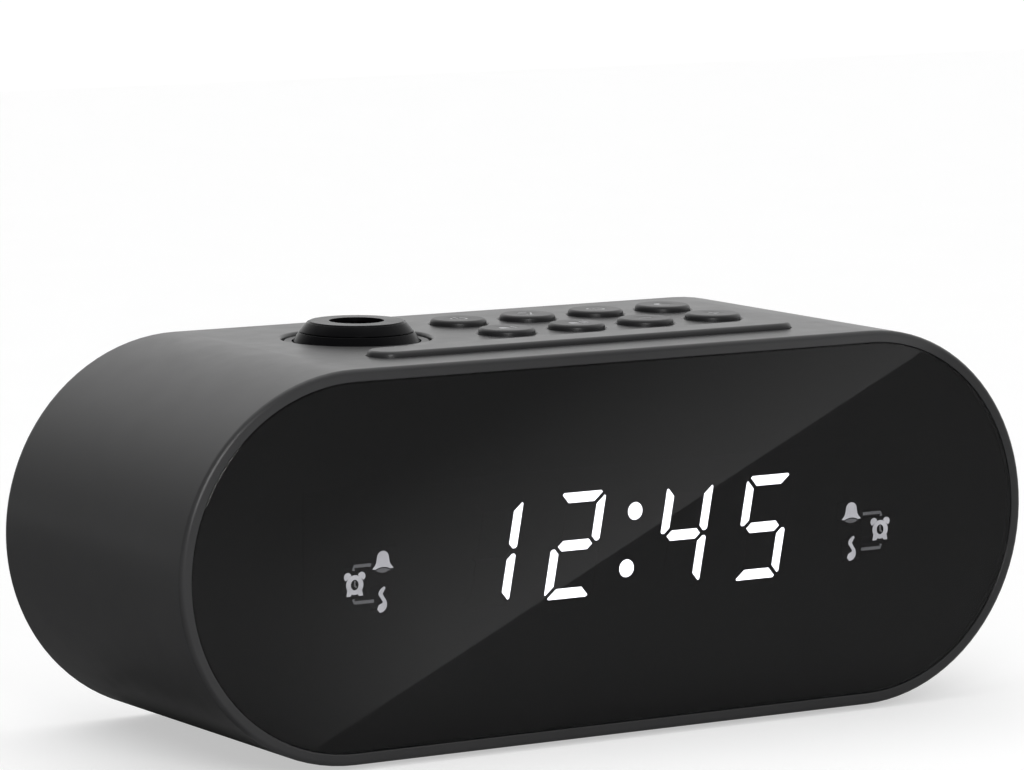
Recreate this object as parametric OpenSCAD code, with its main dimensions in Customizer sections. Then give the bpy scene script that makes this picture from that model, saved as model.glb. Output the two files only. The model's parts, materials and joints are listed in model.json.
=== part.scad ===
// Projection alarm clock: a pill-shaped case with a smoked front lens, round keys, a snooze bar
// and a swivelling ball projector. The origin is at the bottom centre, under the rubber feet.
// +X runs to the right, +Y to the back and +Z up. All sizes are in millimetres.

/* [Case] */
// Overall width of the case
body_w = 185.4; // [170:0.2:200]
// Height of the case without its feet
body_h = 72; // [68:0.5:80]
// Depth of the case from front to back
body_d = 69; // [66:0.5:76]
// Wall of the sleeve, and width of the rim round the front lens
wall = 2.2; // [1.8:0.1:2.6]
// Rounding of the front edge
front_round = 0.9; // [0.4:0.1:1.4]
// Rounding of the back edge
back_round = 1.6; // [0.6:0.1:2]
// How far the rubber feet stand proud
foot_h = 1; // [0.6:0.1:2]

/* [Display] */
// Thickness of the smoked front lens
lens_t = 2; // [1.6:0.1:2.4]
// Height of a digit
digit_h = 19.7; // [16:0.1:22]
// Width of a digit over its outer edges
digit_w = 10.6; // [9:0.1:13]
// Width of a lit bar
bar_t = 2; // [1.6:0.1:2.6]
// Gap between neighbouring bars, along each bar
bar_gap = 0.45; // [0.3:0.05:0.7]
// Cut across the outer corners of a digit
bar_nip = 0.7; // [0.2:0.1:0.8]
// Forward lean of the digits, in degrees
digit_lean = 10; // [0:1:12]
// Centre of the display to the right of the case's middle
display_x = 2.8; // [0:0.1:6]
// Distance from the colon to the inner digits
inner_digit = 12; // [11:0.1:13]
// Distance from the inner digits to the outer ones
digit_pitch = 18; // [16:0.1:19]

/* [Keys] */
// Diameter of a round key
key_d = 10.8; // [9:0.1:11.2]
// How far the keys and the snooze bar stand above the case
key_rise = 1.1; // [0.8:0.1:1.6]
// Travel of a key
key_travel = 0.7; // [0.4:0.1:0.8]
// Distance between key columns
key_pitch_x = 15.65; // [15:0.05:15.9]
// Distance between the two key rows
key_pitch_y = 17.5; // [16:0.1:18]
// Length of the snooze bar
snooze_l = 92.5; // [80:0.5:96]
// Width of the snooze bar
snooze_w = 8; // [7:0.1:8.6]

/* [Projector] */
// Radius of the projector ball
ball_r = 13.2; // [12.8:0.1:13.3]
// Depth of the ball's centre below the case top
ball_drop = 6.4; // [6.2:0.1:6.8]
// Height of the flat end above the ball's centre
ball_flat = 9.6; // [9.2:0.1:10]
// Radius of the light opening in the focus ring
aperture_r = 5.2; // [4.8:0.1:5.6]
// Rounding of the well in the case top
well_round = 0.65; // [0.4:0.05:0.8]

/* [Hidden] */
$fn = 72;

case_grey = [0.24, 0.24, 0.25];
trim_black = [0.08, 0.08, 0.09];
smoke_black = [0.05, 0.05, 0.06];
inner_black = [0.15, 0.15, 0.16];
board_green = [0.12, 0.36, 0.22];
steel = [0.72, 0.73, 0.75];
light_white = [0.97, 0.98, 1];
film_amber = [0.72, 0.45, 0.16];
rubber_grey = [0.2, 0.2, 0.2];
clear_glass = [0.8, 0.85, 0.9];

// Fits
slip = 0.15;         // between pieces that stay put
run = 0.08;          // radial running fit of a shaft in a hole
free = 0.25;         // round a key, and over its flange
cut = 0.5;           // overshoot of a cut past a face

// Case
mid_z = foot_h + body_h / 2;
top_z = foot_h + body_h;
roof_z = top_z - wall;
floor_z = foot_h + wall;
front = body_d / 2;
end_x = (body_w - body_h) / 2;
bore_w = body_w - 2 * wall;
bore_h = body_h - 2 * wall;
ledge = 1.6;
frame_t = 1.6;
lens_front = front - 0.1;
lens_back = lens_front - lens_t;
mask_t = 0.2;
mask_back = lens_back - 0.05 - mask_t;
frame_front = mask_back - 0.05;
frame_back = frame_front - frame_t;
boss_r = 3.4;
boss_reach = 28.5;
boss_angle = 35;
pilot_r = 1.1;
skirt = 3.5;
head_sink = 3.4;
foot_r = 5.5;
foot_x = 46;
foot_y = 23;
foot_sink = 0.6;

// Display
block_w = 80;
block_h = 27;
block_t = 8;
icon_mid = 1;
icon_x = 55.2;
icon_w = 14.4;
icon_h = 16;
pcb_t = 1.6;
display_pcb_w = 137;
display_pcb_h = 32;
display_back = frame_front - block_t;
display_post_x = 65;
display_post_y = 11.5;
display_y = 0.15;
colon_r = 1.7;
colon_x = 0.3;
colon_rise = 5.3;
LIT = [[1, 2], [0, 1, 6, 4, 3], [5, 6, 1, 2], [0, 5, 6, 2, 3]];
DIGITS = [
    -inner_digit - digit_pitch, -inner_digit, inner_digit, inner_digit + digit_pitch
];

// Keys
key_first_x = -4.4;
key_front_y = -1.6;
snooze_x = 1.15;
snooze_y = -19.7;
key_flange_t = 1;
key_flange_top = roof_z - free;
key_foot_z = key_flange_top - key_flange_t - key_travel - 1.65;
key_board_z = key_foot_z - 3.2 - pcb_t;
carrier_t = 1.5;
carrier_z = key_board_z - 0.1 - carrier_t;
carrier_x = 51;
carrier_y = [-26, 31.5];
mat_t = 1;
dome_h = key_foot_z - key_board_z - pcb_t - mat_t - 0.04;
board_x = [-12, 49];
board_y = [-24.6, 22.4];
snooze_domes = [5, 36];
snooze_guides = [-41, 44.5];
guide_r = 1.5;
key_screws = [[3.4, 7.2], [19.1, 7.2], [34.7, 7.2], [3.4, -10.4], [34.7, -10.4]];

// Projector
proj_x = -32.1;
proj_y = 7.3;
ball_z = top_z - ball_drop;
well_bore = 14.15;
swivel_r = well_bore - run;
collar_h = 1.45;
collar_z = roof_z - collar_h;
swivel_flange_r = 16.2;
swivel_flange_z = collar_z - 0.2;
swivel_flange_t = 4.2;
swivel_step_z = top_z - 1.6;
swivel_lip_z = top_z - 0.6;
swivel_lip_r = 13.6;
seat_z = swivel_flange_z - swivel_flange_t - 0.2;
socket_r = ball_r + 0.3;
shell_r = ball_r - 1.6;
split_z = -2.5;
deck_z = ball_flat - 2.1;
pin_r = 1.1;
pin_in = 9.8;
pin_out = 15.9;
ball_post_y = 9;
tube_r = 7.2;
cell_r = 6.5;
stop_reach = 17.6;

// Base, battery and boards
tray_z = floor_z + 0.2;
tray_t = 1.5;
tray_x = 48;
tray_y = [-20, front - wall - skirt - 0.2];
cell_len = 44.5;
cell_d = 10.5;
battery_rows = [5.6, 16.8];
bay_x = 27;
bay_y = [-0.2, 22.6];
bay_z = floor_z + 12.2;
door_x = 28;
door_y = [-2, 24];
board_z = 22;
main_x = [-46, 31];
main_y = [-16, 30.5];
plug_y = -10;
plug_h = 6;
jack_x = -32;
wire_x = -52;
jack_z = board_z + pcb_t;
jack_w = 9;
jack_h = 11;
speaker_x = 52;
speaker_r = 20;
speaker_plane = front - wall - 0.2;
speaker_tab = 17;

// ---- Shared shapes ----

// Round-ended outline, lying along X
module stadium(w, h) {
    square([w - h, h], center = true);
    for (side = [-1, 1])
        translate([side * (w - h) / 2, 0]) circle(d = h);
}

// Half section of a slab, from its centre line out, with rounded lower and upper edges
module edge_section(half, z0, z1, r0, r1) {
    middle = (z0 + z1) / 2;
    translate([0, z0]) square([half - r0, middle - z0]);
    translate([0, middle]) square([half - r1, z1 - middle]);
    translate([0, z0 + r0]) square([half, z1 - r1 - z0 - r0]);
    if (r0 > 0) translate([half - r0, z0 + r0]) circle(r0);
    if (r1 > 0) translate([half - r1, z1 - r1]) circle(r1);
}

// Round-ended slab whose lower and upper edges are rounded all round
module pill(w, h, z0, z1, r0 = 0, r1 = 0) {
    reach = (w - h) / 2;
    translate([-reach, 0, 0]) rotate([90, 0, 90]) linear_extrude(2 * reach) {
        edge_section(h / 2, z0, z1, r0, r1);
        mirror([1, 0]) edge_section(h / 2, z0, z1, r0, r1);
    }
    for (side = [-1, 1])
        translate([side * reach, 0, 0]) rotate([0, 0, -90 * side])
            rotate_extrude(angle = 180) edge_section(h / 2, z0, z1, r0, r1);
}

// Straight plate from z0 to z1
module plate(z0, z1) {
    translate([0, 0, z0]) linear_extrude(z1 - z0) children();
}

// Stands a drawing up: x stays, y becomes the height above the case's middle and z the way forward
module face_on() {
    translate([0, 0, mid_z]) rotate([90, 0, 0]) children();
}

// Runs a drawing of the front view back through the case, from y0 to y1
module run_back(y0, y1) {
    translate([0, y1, 0]) rotate([90, 0, 0]) linear_extrude(y1 - y0) children();
}

// Block between two corners
module block(low, high) {
    translate(low) cube(high - low);
}

// Everything of the projector sits on the ball's centre
module at_ball() {
    translate([proj_x, proj_y, ball_z]) children();
}

// Ring drawn by its radii and heights
module ring(r_in, r_out, z0, z1) {
    plate(z0, z1) difference() {
        circle(r_out);
        circle(r_in);
    }
}

function unit(v) = v / norm(v);

// Wire swept along a path of points; side is a direction that the path never runs along
module tube(path, r, sides, side) {
    last = len(path) - 1;
    skin = [
        for (i = [0:last])
            let (
                along = unit(path[min(i + 1, last)] - path[max(i - 1, 0)]),
                out = unit(cross(side, along)),
                over = cross(along, out)
            )
            for (k = [0:sides - 1])
                path[i] + r * (cos(360 * k / sides) * out + sin(360 * k / sides) * over)
    ];
    walls = [
        for (i = [0:last - 1], k = [0:sides - 1])
            let (next = (k + 1) % sides)
            [i * sides + k, (i + 1) * sides + k, (i + 1) * sides + next, i * sides + next]
    ];
    ends = [
        [for (k = [0:sides - 1]) k],
        [for (k = [sides - 1:-1:0]) last * sides + k]
    ];
    polyhedron(skin, concat(walls, ends));
}

// Pan-head screw with a cross recess, its head's underside at z = 0 and its shank pointing down
module pan_screw(shank_r, length, head_r) {
    head_h = head_r * 0.7;
    slot = head_r * 0.35;
    difference() {
        rotate_extrude() {
            square([head_r, head_h * 0.5]);
            square([head_r * 0.7, head_h]);
            intersection() {
                translate([0, head_h * 0.5]) square([head_r, head_h]);
                translate([head_r - head_h * 0.5, head_h * 0.5]) circle(head_h * 0.5);
            }
        }
        for (turn = [0, 90]) rotate(turn)
            block([-head_r * 0.6, -slot / 2, head_h * 0.45], [head_r * 0.6, slot / 2, head_h + cut]);
    }
    plate(-length, 0) circle(shank_r);
}

// ---- Case ----

// Places of the rear screws, in the front view, with the local x pointing out to the wall
module at_rear_bosses() {
    for (side = [0, 1], level = [-1, 1]) mirror([side, 0, 0])
        translate([end_x, 0, 0]) rotate(level * boss_angle) translate([boss_reach, 0, 0]) children();
}

// Places of the round keys
module at_key(column, row) {
    translate([key_first_x + column * key_pitch_x, key_front_y + row * key_pitch_y, 0]) children();
}

module at_all_keys() {
    for (column = [0:3], row = [0:1]) at_key(column, row) children();
}

module at_feet() {
    for (x = [-foot_x, foot_x], y = [-foot_y, foot_y]) translate([x, y, 0]) children();
}

// Hanging rail that grips one edge of the key carrier, drawn in the front view
module carrier_rail() {
    lip = 1.2;
    x_in = carrier_x + 0.2;
    x_lip = carrier_x - 1.5;
    x_out = x_in + 1.6;
    z_low = carrier_z - 0.1;
    z_high = carrier_z + carrier_t + 0.1;
    polygon([
        [x_in, roof_z + 1], [x_out, roof_z + 1], [x_out, z_low - lip], [x_lip, z_low - lip],
        [x_lip, z_low], [x_in, z_low], [x_in, z_high], [x_lip, z_high],
        [x_lip, z_high + lip], [x_in, z_high + lip]
    ]);
}

// Low rail that grips one edge of the base tray
module tray_rail() {
    x_in = tray_x + 0.2;
    z_high = tray_z + tray_t + 0.1;
    polygon([
        [x_in, floor_z - 1], [x_in + 1.8, floor_z - 1], [x_in + 1.8, z_high + 1.2],
        [x_in - 1.4, z_high + 1.2], [x_in - 1.4, z_high], [x_in, z_high]
    ]);
}

// Rounded mouth of the well that the projector ball sits in
module well_mouth() {
    edge_r = well_bore + well_round;
    translate([proj_x, proj_y, top_z - well_round]) {
        rotate_extrude() difference() {
            square([edge_r, well_round + cut]);
            translate([edge_r, 0]) circle(well_round);
        }
        cylinder(r = well_bore, h = 12, center = true);
    }
}

// Hole for a round key, with its edge broken
module key_hole() {
    hole_r = key_d / 2 + free;
    translate([0, 0, roof_z - cut]) cylinder(r = hole_r, h = wall + 2 * cut);
    translate([0, 0, top_z - 0.3]) cylinder(r1 = hole_r, r2 = hole_r + 0.3, h = 0.3);
}

module sleeve_ribs() {
    face_on() {
        plate(frame_back - 0.1 - ledge, frame_back - 0.1) difference() {
            stadium(bore_w + 1, bore_h + 1);
            stadium(bore_w - 2 * ledge, bore_h - 2 * ledge);
        }
        at_rear_bosses() plate(-front + wall + skirt + 0.1, 0) {
            circle(boss_r);
            translate([0, -1.2]) square([bore_h / 2 - boss_reach + 1, 2.4]);
        }
    }
    for (side = [0, 1]) mirror([side, 0, 0]) {
        run_back(-28, front - wall - skirt - 0.2) carrier_rail();
        run_back(-28, front - wall - skirt - 0.2) tray_rail();
    }
    translate([proj_x, proj_y, collar_z]) cylinder(r = well_bore + 1.8, h = collar_h + 1);
}

module case_sleeve() {
    color(case_grey) difference() {
        union() {
            difference() {
                face_on() pill(body_w, body_h, -front, front, back_round, front_round);
                face_on() plate(-front - cut, front + cut) stadium(bore_w, bore_h);
            }
            sleeve_ribs();
        }
        well_mouth();
        at_all_keys() key_hole();
        translate([snooze_x, snooze_y, 0]) plate(roof_z - cut, top_z + cut)
            stadium(snooze_l + 2 * free, snooze_w + 2 * free);
        block([-door_x, door_y[0], 0], [door_x, door_y[1], floor_z + cut]);
        translate([0, door_y[1] + 0.5, foot_h - 3.2]) sphere(r = 4.6);
        at_feet() translate([0, 0, foot_h - cut]) cylinder(r = foot_r + 0.1, h = foot_sink + cut);
        face_on() at_rear_bosses() plate(-front, -14) circle(pilot_r);
    }
}

module rear_cover() {
    inner = -front + wall;
    jack_y = jack_z + jack_h / 2 - mid_z;
    color(case_grey) face_on() difference() {
        union() {
            pill(bore_w - 0.2, bore_h - 0.2, -front, inner, 0.5, 0);
            plate(inner - cut, inner + skirt) difference() {
                stadium(bore_w - 0.3, bore_h - 0.3);
                stadium(bore_w - 2.7, bore_h - 2.7);
            }
            at_rear_bosses() plate(inner - cut, inner + skirt) circle(boss_r + 0.7);
            translate([speaker_x, 0, 0]) {
                ring(speaker_r + 0.3, speaker_r + 1.5, inner - cut, inner + 1);
                at_speaker_bosses() plate(inner - cut, inner + 1.15) circle(2.4);
            }
        }
        at_rear_bosses() {
            plate(-front - cut, -front + head_sink) circle(3.2);
            plate(-front - cut, inner + skirt + cut) circle(1.5);
        }
        translate([speaker_x, 0, -front]) {
            translate([0, 0, -cut]) speaker_holes(wall + 2 * cut);
            at_speaker_bosses() plate(1, wall + 2) circle(0.9);
        }
        translate([jack_x, jack_y, 0]) {
            plate(-front - cut, inner + cut) square([jack_w + 0.4, jack_h + 0.4], center = true);
            plate(-front - cut, -front + 0.6) circle(r = 8.4);
        }
        translate([wire_x, jack_y, 0]) {
            plate(-front - cut, inner + cut) circle(1.4);
            translate([0, 0, -front - 0.1]) cylinder(r1 = 2.3, r2 = 1.3, h = 1.1);
        }
    }
}

// Rings of round holes over the speaker
module speaker_holes(depth) {
    hole_r = 1.05;
    step = 3.9;
    cylinder(r = hole_r, h = depth, $fn = 24);
    for (row = [1:4], spot = [0:6 * row - 1])
        rotate(spot * 60 / row) translate([row * step, 0, 0]) cylinder(r = hole_r, h = depth, $fn = 24);
}

module at_speaker_bosses() {
    for (turn = [30, 150, 270]) rotate(turn) translate([speaker_r + 2.9, 0, 0]) children();
}

module rear_screws() {
    color(steel) face_on() at_rear_bosses()
        translate([0, 0, -front + head_sink]) rotate([180, 0, 0]) pan_screw(pilot_r - 0.02, 12, 2.7);
}

module rubber_feet() {
    color(rubber_grey) at_feet() rotate_extrude()
        edge_section(foot_r, 0, foot_h + foot_sink, 0.5, 0);
}

module front_lens() {
    color(smoke_black) face_on()
        pill(bore_w - slip, bore_h - slip, lens_back, lens_front, 0, 0.3);
}

// Moulded frame behind the lens, with windows for the lights and posts for the display board
module front_frame() {
    color(trim_black) face_on() difference() {
        union() {
            plate(frame_back, frame_front) stadium(bore_w - 0.3, bore_h - 0.3);
            at_display_posts() plate(display_back + 0.05, frame_back + cut) circle(2.8);
        }
        translate([display_x, 0, 0]) plate(frame_back - cut, frame_front + cut)
            square([block_w + 0.4, block_h + 0.4], center = true);
        for (side = [-1, 1]) translate([icon_mid + side * icon_x, 0, 0])
            plate(frame_back - cut, frame_front + cut)
                square([icon_w + 0.4, icon_h + 0.4], center = true);
        at_display_posts() plate(display_back - cut, frame_back + 0.5) circle(pilot_r);
    }
}

// ---- Display ----

module at_display_posts() {
    for (x = [-display_post_x, display_post_x], y = [-display_post_y, display_post_y])
        translate([x, y, 0]) children();
}

// Corners of one bar of a digit, leaning forward; trim pulls every edge in
function bar_points(index, trim = 0) =
    let (
        ox = digit_w / 2 - trim,
        oy = digit_h / 2 - trim,
        ix = digit_w / 2 - bar_t + trim,
        iy = digit_h / 2 - bar_t + trim,
        half = bar_t / 2 - trim,
        gap = bar_gap + trim,
        mx = digit_w / 2 - bar_t / 2 - trim,
        nip = bar_nip / 2,
        top = [
            [gap - ox + 2 * nip, oy], [ox - gap - 2 * nip, oy], [ox - gap - nip, oy - nip],
            [ix - gap, iy], [gap - ix, iy], [gap - ox + nip, oy - nip]
        ],
        side = [
            [ox - nip, oy - gap - nip], [ox, oy - gap - 2 * nip], [ox, gap + nip],
            [ox - nip, gap], [mx + trim, gap], [ix, half + gap], [ix, iy - gap]
        ],
        middle = [
            [gap - mx, 0], [gap - ix, half], [ix - gap, half],
            [mx - gap, 0], [ix - gap, -half], [gap - ix, -half]
        ],
        flip_x = (index == 4 || index == 5) ? -1 : 1,
        flip_y = (index == 2 || index == 3 || index == 4) ? -1 : 1,
        shape = index == 6 ? middle : (index == 0 || index == 3) ? top : side
    )
    [for (p = shape) [flip_x * p.x + flip_y * p.y * tan(digit_lean), flip_y * p.y]];

// Draws the bars of each digit that are lit, or the ones that are dark
module bars(lit, trim = 0) {
    for (place = [0:3], index = [0:6])
        if (lit == (len(search(index, LIT[place])) > 0))
            translate([display_x + DIGITS[place], display_y]) polygon(bar_points(index, trim));
}

module colon_dots(trim = 0) {
    for (side = [-1, 1])
        translate([
            display_x + colon_x + side * colon_rise * tan(digit_lean),
            display_y + side * colon_rise
        ]) circle(colon_r - trim);
}

// Windows for three small signs on one side of the display, in the front view
module icon_windows(trim = 0) {
    for (spot = [[-3.8, 1.1, 5.6, 4.8], [2.2, -2.4, 5.6, 5.4], [-3, -6, 4.6, 4.8]])
        translate([spot[0], spot[1]])
            square([spot[2] - 2 * trim, spot[3] - 2 * trim], center = true);
}

module both_icon_windows(trim = 0) {
    for (side = [0, 1])
        translate([icon_mid, 0]) mirror([side, 0]) translate([icon_x, 0]) icon_windows(trim);
}

module display_mask() {
    color(trim_black) face_on() plate(mask_back, mask_back + mask_t) difference() {
        square([2 * display_post_x + 4, block_h + 2], center = true);
        bars(true);
        bars(false);
        colon_dots();
        both_icon_windows(0.2);
    }
}

module display_reflector() {
    color(inner_black) face_on() plate(display_back, frame_front) difference() {
        translate([display_x, 0]) square([block_w, block_h], center = true);
        bars(true);
        bars(false);
        colon_dots();
    }
}

module lit_segments() {
    color(light_white) face_on() plate(frame_front - 1.5, frame_front) {
        bars(true, 0.04);
        colon_dots(0.04);
    }
}

module dark_segments() {
    color(smoke_black) face_on() plate(frame_front - 1.5, frame_front) bars(false, 0.04);
}

module icon_light_boxes() {
    color(inner_black) face_on() plate(display_back, frame_front) difference() {
        for (side = [-1, 1])
            translate([icon_mid + side * icon_x, 0]) square([icon_w, icon_h], center = true);
        both_icon_windows(0.2);
    }
}

module display_pcb() {
    color(board_green) face_on()
        plate(display_back - 0.05 - pcb_t, display_back - 0.05) difference() {
            square([display_pcb_w, display_pcb_h], center = true);
            at_display_posts() circle(1.5);
        }
}

module display_screws() {
    color(steel) face_on() at_display_posts()
        translate([0, 0, display_back - 0.1 - pcb_t]) rotate([180, 0, 0])
            pan_screw(pilot_r - 0.02, 6, 2.4);
}

// Flat ribbon cable whose side view follows a path of [y, z] points, down and back
module ribbon(x, width, path) {
    t = 0.3;
    back = [for (i = [len(path) - 1:-1:0]) path[i] + [t, t]];
    color(film_amber) translate([x, 0, 0]) rotate([90, 0, 90]) linear_extrude(width)
        polygon(concat(path, back));
}

// From the display board back to the main board
module display_ribbon() {
    ribbon(-8, 14, [
        [-display_back + 0.07 + pcb_t, 34], [-18, 33.4], [plug_y - 0.4, 31], [plug_y - 0.4, 26]
    ]);
}

// ---- Keys ----

// Plate that slides in under the case top: it carries the key board and the projector's seat
module top_carrier() {
    color(inner_black) difference() {
        union() {
            block(
                [-carrier_x, carrier_y[0], carrier_z],
                [carrier_x, carrier_y[1], carrier_z + carrier_t]
            );
            translate([proj_x, proj_y, 0]) {
                plate(carrier_z, seat_z) circle(swivel_flange_r + 0.4);
                for (side = [-1, 1]) rotate(180 + side * 102) block(
                    [swivel_flange_r - 1, -1.4, carrier_z], [stop_reach + 0.4, 1.4, swivel_flange_z]
                );
            }
            for (x = snooze_guides) translate([x, snooze_y, 0])
                plate(carrier_z - 4, carrier_z + cut) circle(3);
            for (spot = key_screws) translate(spot) plate(carrier_z - 4, carrier_z + cut) circle(2.4);
        }
        translate([proj_x, proj_y, 0]) {
            plate(carrier_z - cut, top_z) circle(well_bore + 0.3);
            plate(seat_z, top_z) circle(swivel_flange_r + 0.15);
        }
        for (x = snooze_guides) translate([x, snooze_y, 0]) plate(0, top_z) circle(guide_r + run);
        for (spot = key_screws) translate(spot) plate(0, top_z) circle(pilot_r);
        for (x = [-17, 17]) translate([x, snooze_y - 1, carrier_z - cut])
            plate(0, carrier_t + 2 * cut) stadium(16, 4);
    }
}

module key_pcb() {
    color(board_green) plate(key_board_z, key_board_z + pcb_t) difference() {
        translate([board_x[0], board_y[0]])
            square([board_x[1] - board_x[0], board_y[1] - board_y[0]]);
        for (spot = key_screws) translate(spot) circle(1.4);
        translate([snooze_guides[1], snooze_y]) circle(2.2);
    }
}

module key_pcb_screws() {
    color(steel) for (spot = key_screws)
        translate([spot.x, spot.y, key_board_z + pcb_t + 0.05]) pan_screw(pilot_r - 0.02, 6, 2.2);
}

// Hollow rubber dome that brings a key back up
module dome() {
    rotate_extrude() difference() {
        polygon([[0, 0], [4.4, 0], [2.9, dome_h], [0, dome_h]]);
        polygon([[0, -cut], [3.5, -cut], [2.3, dome_h - 0.9], [0, dome_h - 0.9]]);
    }
}

// Rubber mat under the keys, one dome to a key and two under the snooze bar
module key_mat() {
    base = key_board_z + pcb_t + 0.02;
    color(rubber_grey) {
        plate(base, base + mat_t) difference() {
            translate([board_x[0] + 0.8, board_y[0] + 0.8])
                square([board_x[1] - board_x[0] - 1.6, board_y[1] - board_y[0] - 1.6]);
            for (spot = key_screws) translate(spot) circle(2.8);
            translate([snooze_guides[1], snooze_y]) circle(2.6);
            at_all_keys() circle(3.4);
            for (x = snooze_domes) translate([x, snooze_y]) circle(3.4);
        }
        translate([0, 0, base + mat_t]) {
            at_all_keys() dome();
            for (x = snooze_domes) translate([x, snooze_y, 0]) dome();
        }
    }
}

// From the key board down through the carrier to the main board
module key_ribbon() {
    ribbon(12, 10, [
        [snooze_y - 1, key_board_z - 0.32], [snooze_y - 1, 42], [plug_y - 1, 32], [plug_y - 1, 26]
    ]);
}

// One round key: cap, flange with flats so that it can't turn, and the stem that presses the dome
module round_key(column, row) {
    color(case_grey) at_key(column, row) {
        rotate_extrude() difference() {
            edge_section(key_d / 2, key_flange_top - 0.2, top_z + key_rise, 0, 0.7);
            translate([0, top_z + key_rise + 24.87]) circle(25, $fn = 240);
        }
        plate(key_flange_top - key_flange_t, key_flange_top) intersection() {
            circle(key_d / 2 + 1.2);
            square([key_d + 1, 2 * key_d], center = true);
        }
        translate([0, 0, key_foot_z]) cylinder(r = 2.2, h = 3);
    }
}

module key_alarm_one() round_key(0, 0);
module key_alarm_two() round_key(1, 0);
module key_tune_down() round_key(2, 0);
module key_tune_up() round_key(3, 0);
module key_power() round_key(0, 1);
module key_projector() round_key(1, 1);
module key_memory() round_key(2, 1);
module key_sleep() round_key(3, 1);

// Long bar with a flange, two plungers over its domes and a guide pin near each end
module snooze_bar() {
    color(case_grey) {
        translate([snooze_x, snooze_y, 0]) {
            pill(snooze_l, snooze_w, key_flange_top - 0.2, top_z + key_rise, 0, 0.8);
            plate(key_flange_top - key_flange_t, key_flange_top) stadium(snooze_l + 2, snooze_w + 1.6);
        }
        for (x = snooze_domes) translate([x, snooze_y, key_foot_z]) cylinder(r = 2.2, h = 3);
        for (x = snooze_guides) translate([x, snooze_y, carrier_z - 2.6])
            cylinder(r = guide_r, h = key_flange_top - carrier_z + 2.2);
    }
}

// ---- Projector ----

// Turntable that the ball tilts in; its flange turns between the case collar and the carrier
module projector_swivel() {
    color(trim_black) at_ball() difference() {
        union() {
            rotate_extrude() difference() {
                union() {
                    translate([0, -6]) square([swivel_r, swivel_step_z - ball_z + 6]);
                    square([swivel_lip_r, swivel_lip_z - ball_z]);
                    translate([0, swivel_flange_z - swivel_flange_t - ball_z])
                        square([swivel_flange_r, swivel_flange_t]);
                }
                intersection() {
                    circle(socket_r, $fn = 144);
                    translate([0, -20]) square([20, 40]);
                }
            }
            rotate(180) block(
                [swivel_flange_r - 1, -1.5, swivel_flange_z - swivel_flange_t - ball_z],
                [stop_reach, 1.5, swivel_flange_z - ball_z]
            );
        }
        rotate([0, 90, 0]) cylinder(r = pin_r, h = 2 * (pin_out + 0.5), center = true);
    }
}

module pivot_pins() {
    color(steel) at_ball() for (side = [-1, 1]) rotate([0, 90 * side, 0])
        plate(pin_in, pin_out) circle(pin_r);
}

// Half section of the ball's wall, between two heights
module shell_section(z0, z1) {
    difference() {
        intersection() {
            circle(ball_r, $fn = 144);
            translate([0, z0]) square([ball_r, z1 - z0]);
        }
        circle(shell_r, $fn = 144);
    }
}

module at_ball_posts() {
    for (side = [-1, 1]) translate([0, side * ball_post_y, 0]) children();
}

module ball_upper_shell() {
    color(trim_black) at_ball() difference() {
        union() {
            rotate_extrude() {
                shell_section(split_z, deck_z);
                translate([tube_r + 0.3, deck_z - 1.2]) square([2.6, 1.2]);
            }
            for (side = [-1, 1]) rotate([0, 90 * side, 0]) plate(8, ball_r - 0.9) circle(2.4);
            at_ball_posts() plate(split_z, deck_z - 0.5) circle(1.6);
        }
        rotate([0, 90, 0]) cylinder(r = pin_r + 0.06, h = 40, center = true);
        at_ball_posts() plate(split_z - cut, deck_z - 2) circle(0.8);
    }
}

module ball_lower_shell() {
    seat = -8.7;
    color(trim_black) at_ball() difference() {
        union() {
            rotate_extrude() {
                shell_section(-ball_r, split_z - 0.05);
                intersection() {
                    circle(ball_r - 0.4, $fn = 144);
                    translate([4.6, -ball_r]) square([2.6, ball_r + seat]);
                }
            }
            intersection() {
                at_ball_posts() plate(-ball_r, split_z - 0.05) circle(1.6);
                sphere(r = ball_r - 0.4, $fn = 144);
            }
        }
        at_ball_posts() {
            plate(-ball_r, split_z) circle(1);
            plate(-ball_r, -6.2) circle(1.6);
        }
        cylinder(r = 1.6, h = 40, center = true);
    }
}

module ball_screws() {
    color(steel) at_ball() at_ball_posts()
        translate([0, 0, -6.3]) rotate([180, 0, 0]) pan_screw(0.78, 8, 1.4);
}

// Cap of the ball: turning it screws the lens cell in or out
module focus_ring() {
    color(trim_black) at_ball() rotate_extrude() {
        difference() {
            intersection() {
                circle(ball_r, $fn = 144);
                translate([aperture_r, deck_z + 0.15]) square([ball_r, ball_flat - deck_z - 0.15]);
            }
            translate([0, deck_z]) square([cell_r + 0.1, 1.3]);
            translate([sqrt(ball_r * ball_r - ball_flat * ball_flat) + 0.1, ball_flat])
                rotate(45) square(0.5, center = true);
        }
        translate([cell_r + 0.1, 4.3]) square([0.75, deck_z - 4]);
    }
}

module lens_cell() {
    color(inner_black) at_ball() rotate_extrude() {
        translate([5.2, 3.4]) square([cell_r - 5.2, 3.8]);
        translate([4.6, 3.4]) square([1, 0.5]);
    }
}

// Lens made of two shallow caps on one edge band
module lens_blank(radius, edge_t, crown) {
    bend = (radius * radius + crown * crown) / (2 * crown);
    rotate_extrude() intersection() {
        translate([0, -edge_t / 2 - crown]) square([radius, edge_t + 2 * crown]);
        translate([0, edge_t / 2 + crown - bend]) circle(bend, $fn = 240);
        translate([0, bend - edge_t / 2 - crown]) circle(bend, $fn = 240);
    }
}

module projection_lens() {
    color(clear_glass) at_ball() translate([0, 0, 4.7]) lens_blank(5.15, 1.2, 0.7);
}

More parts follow.
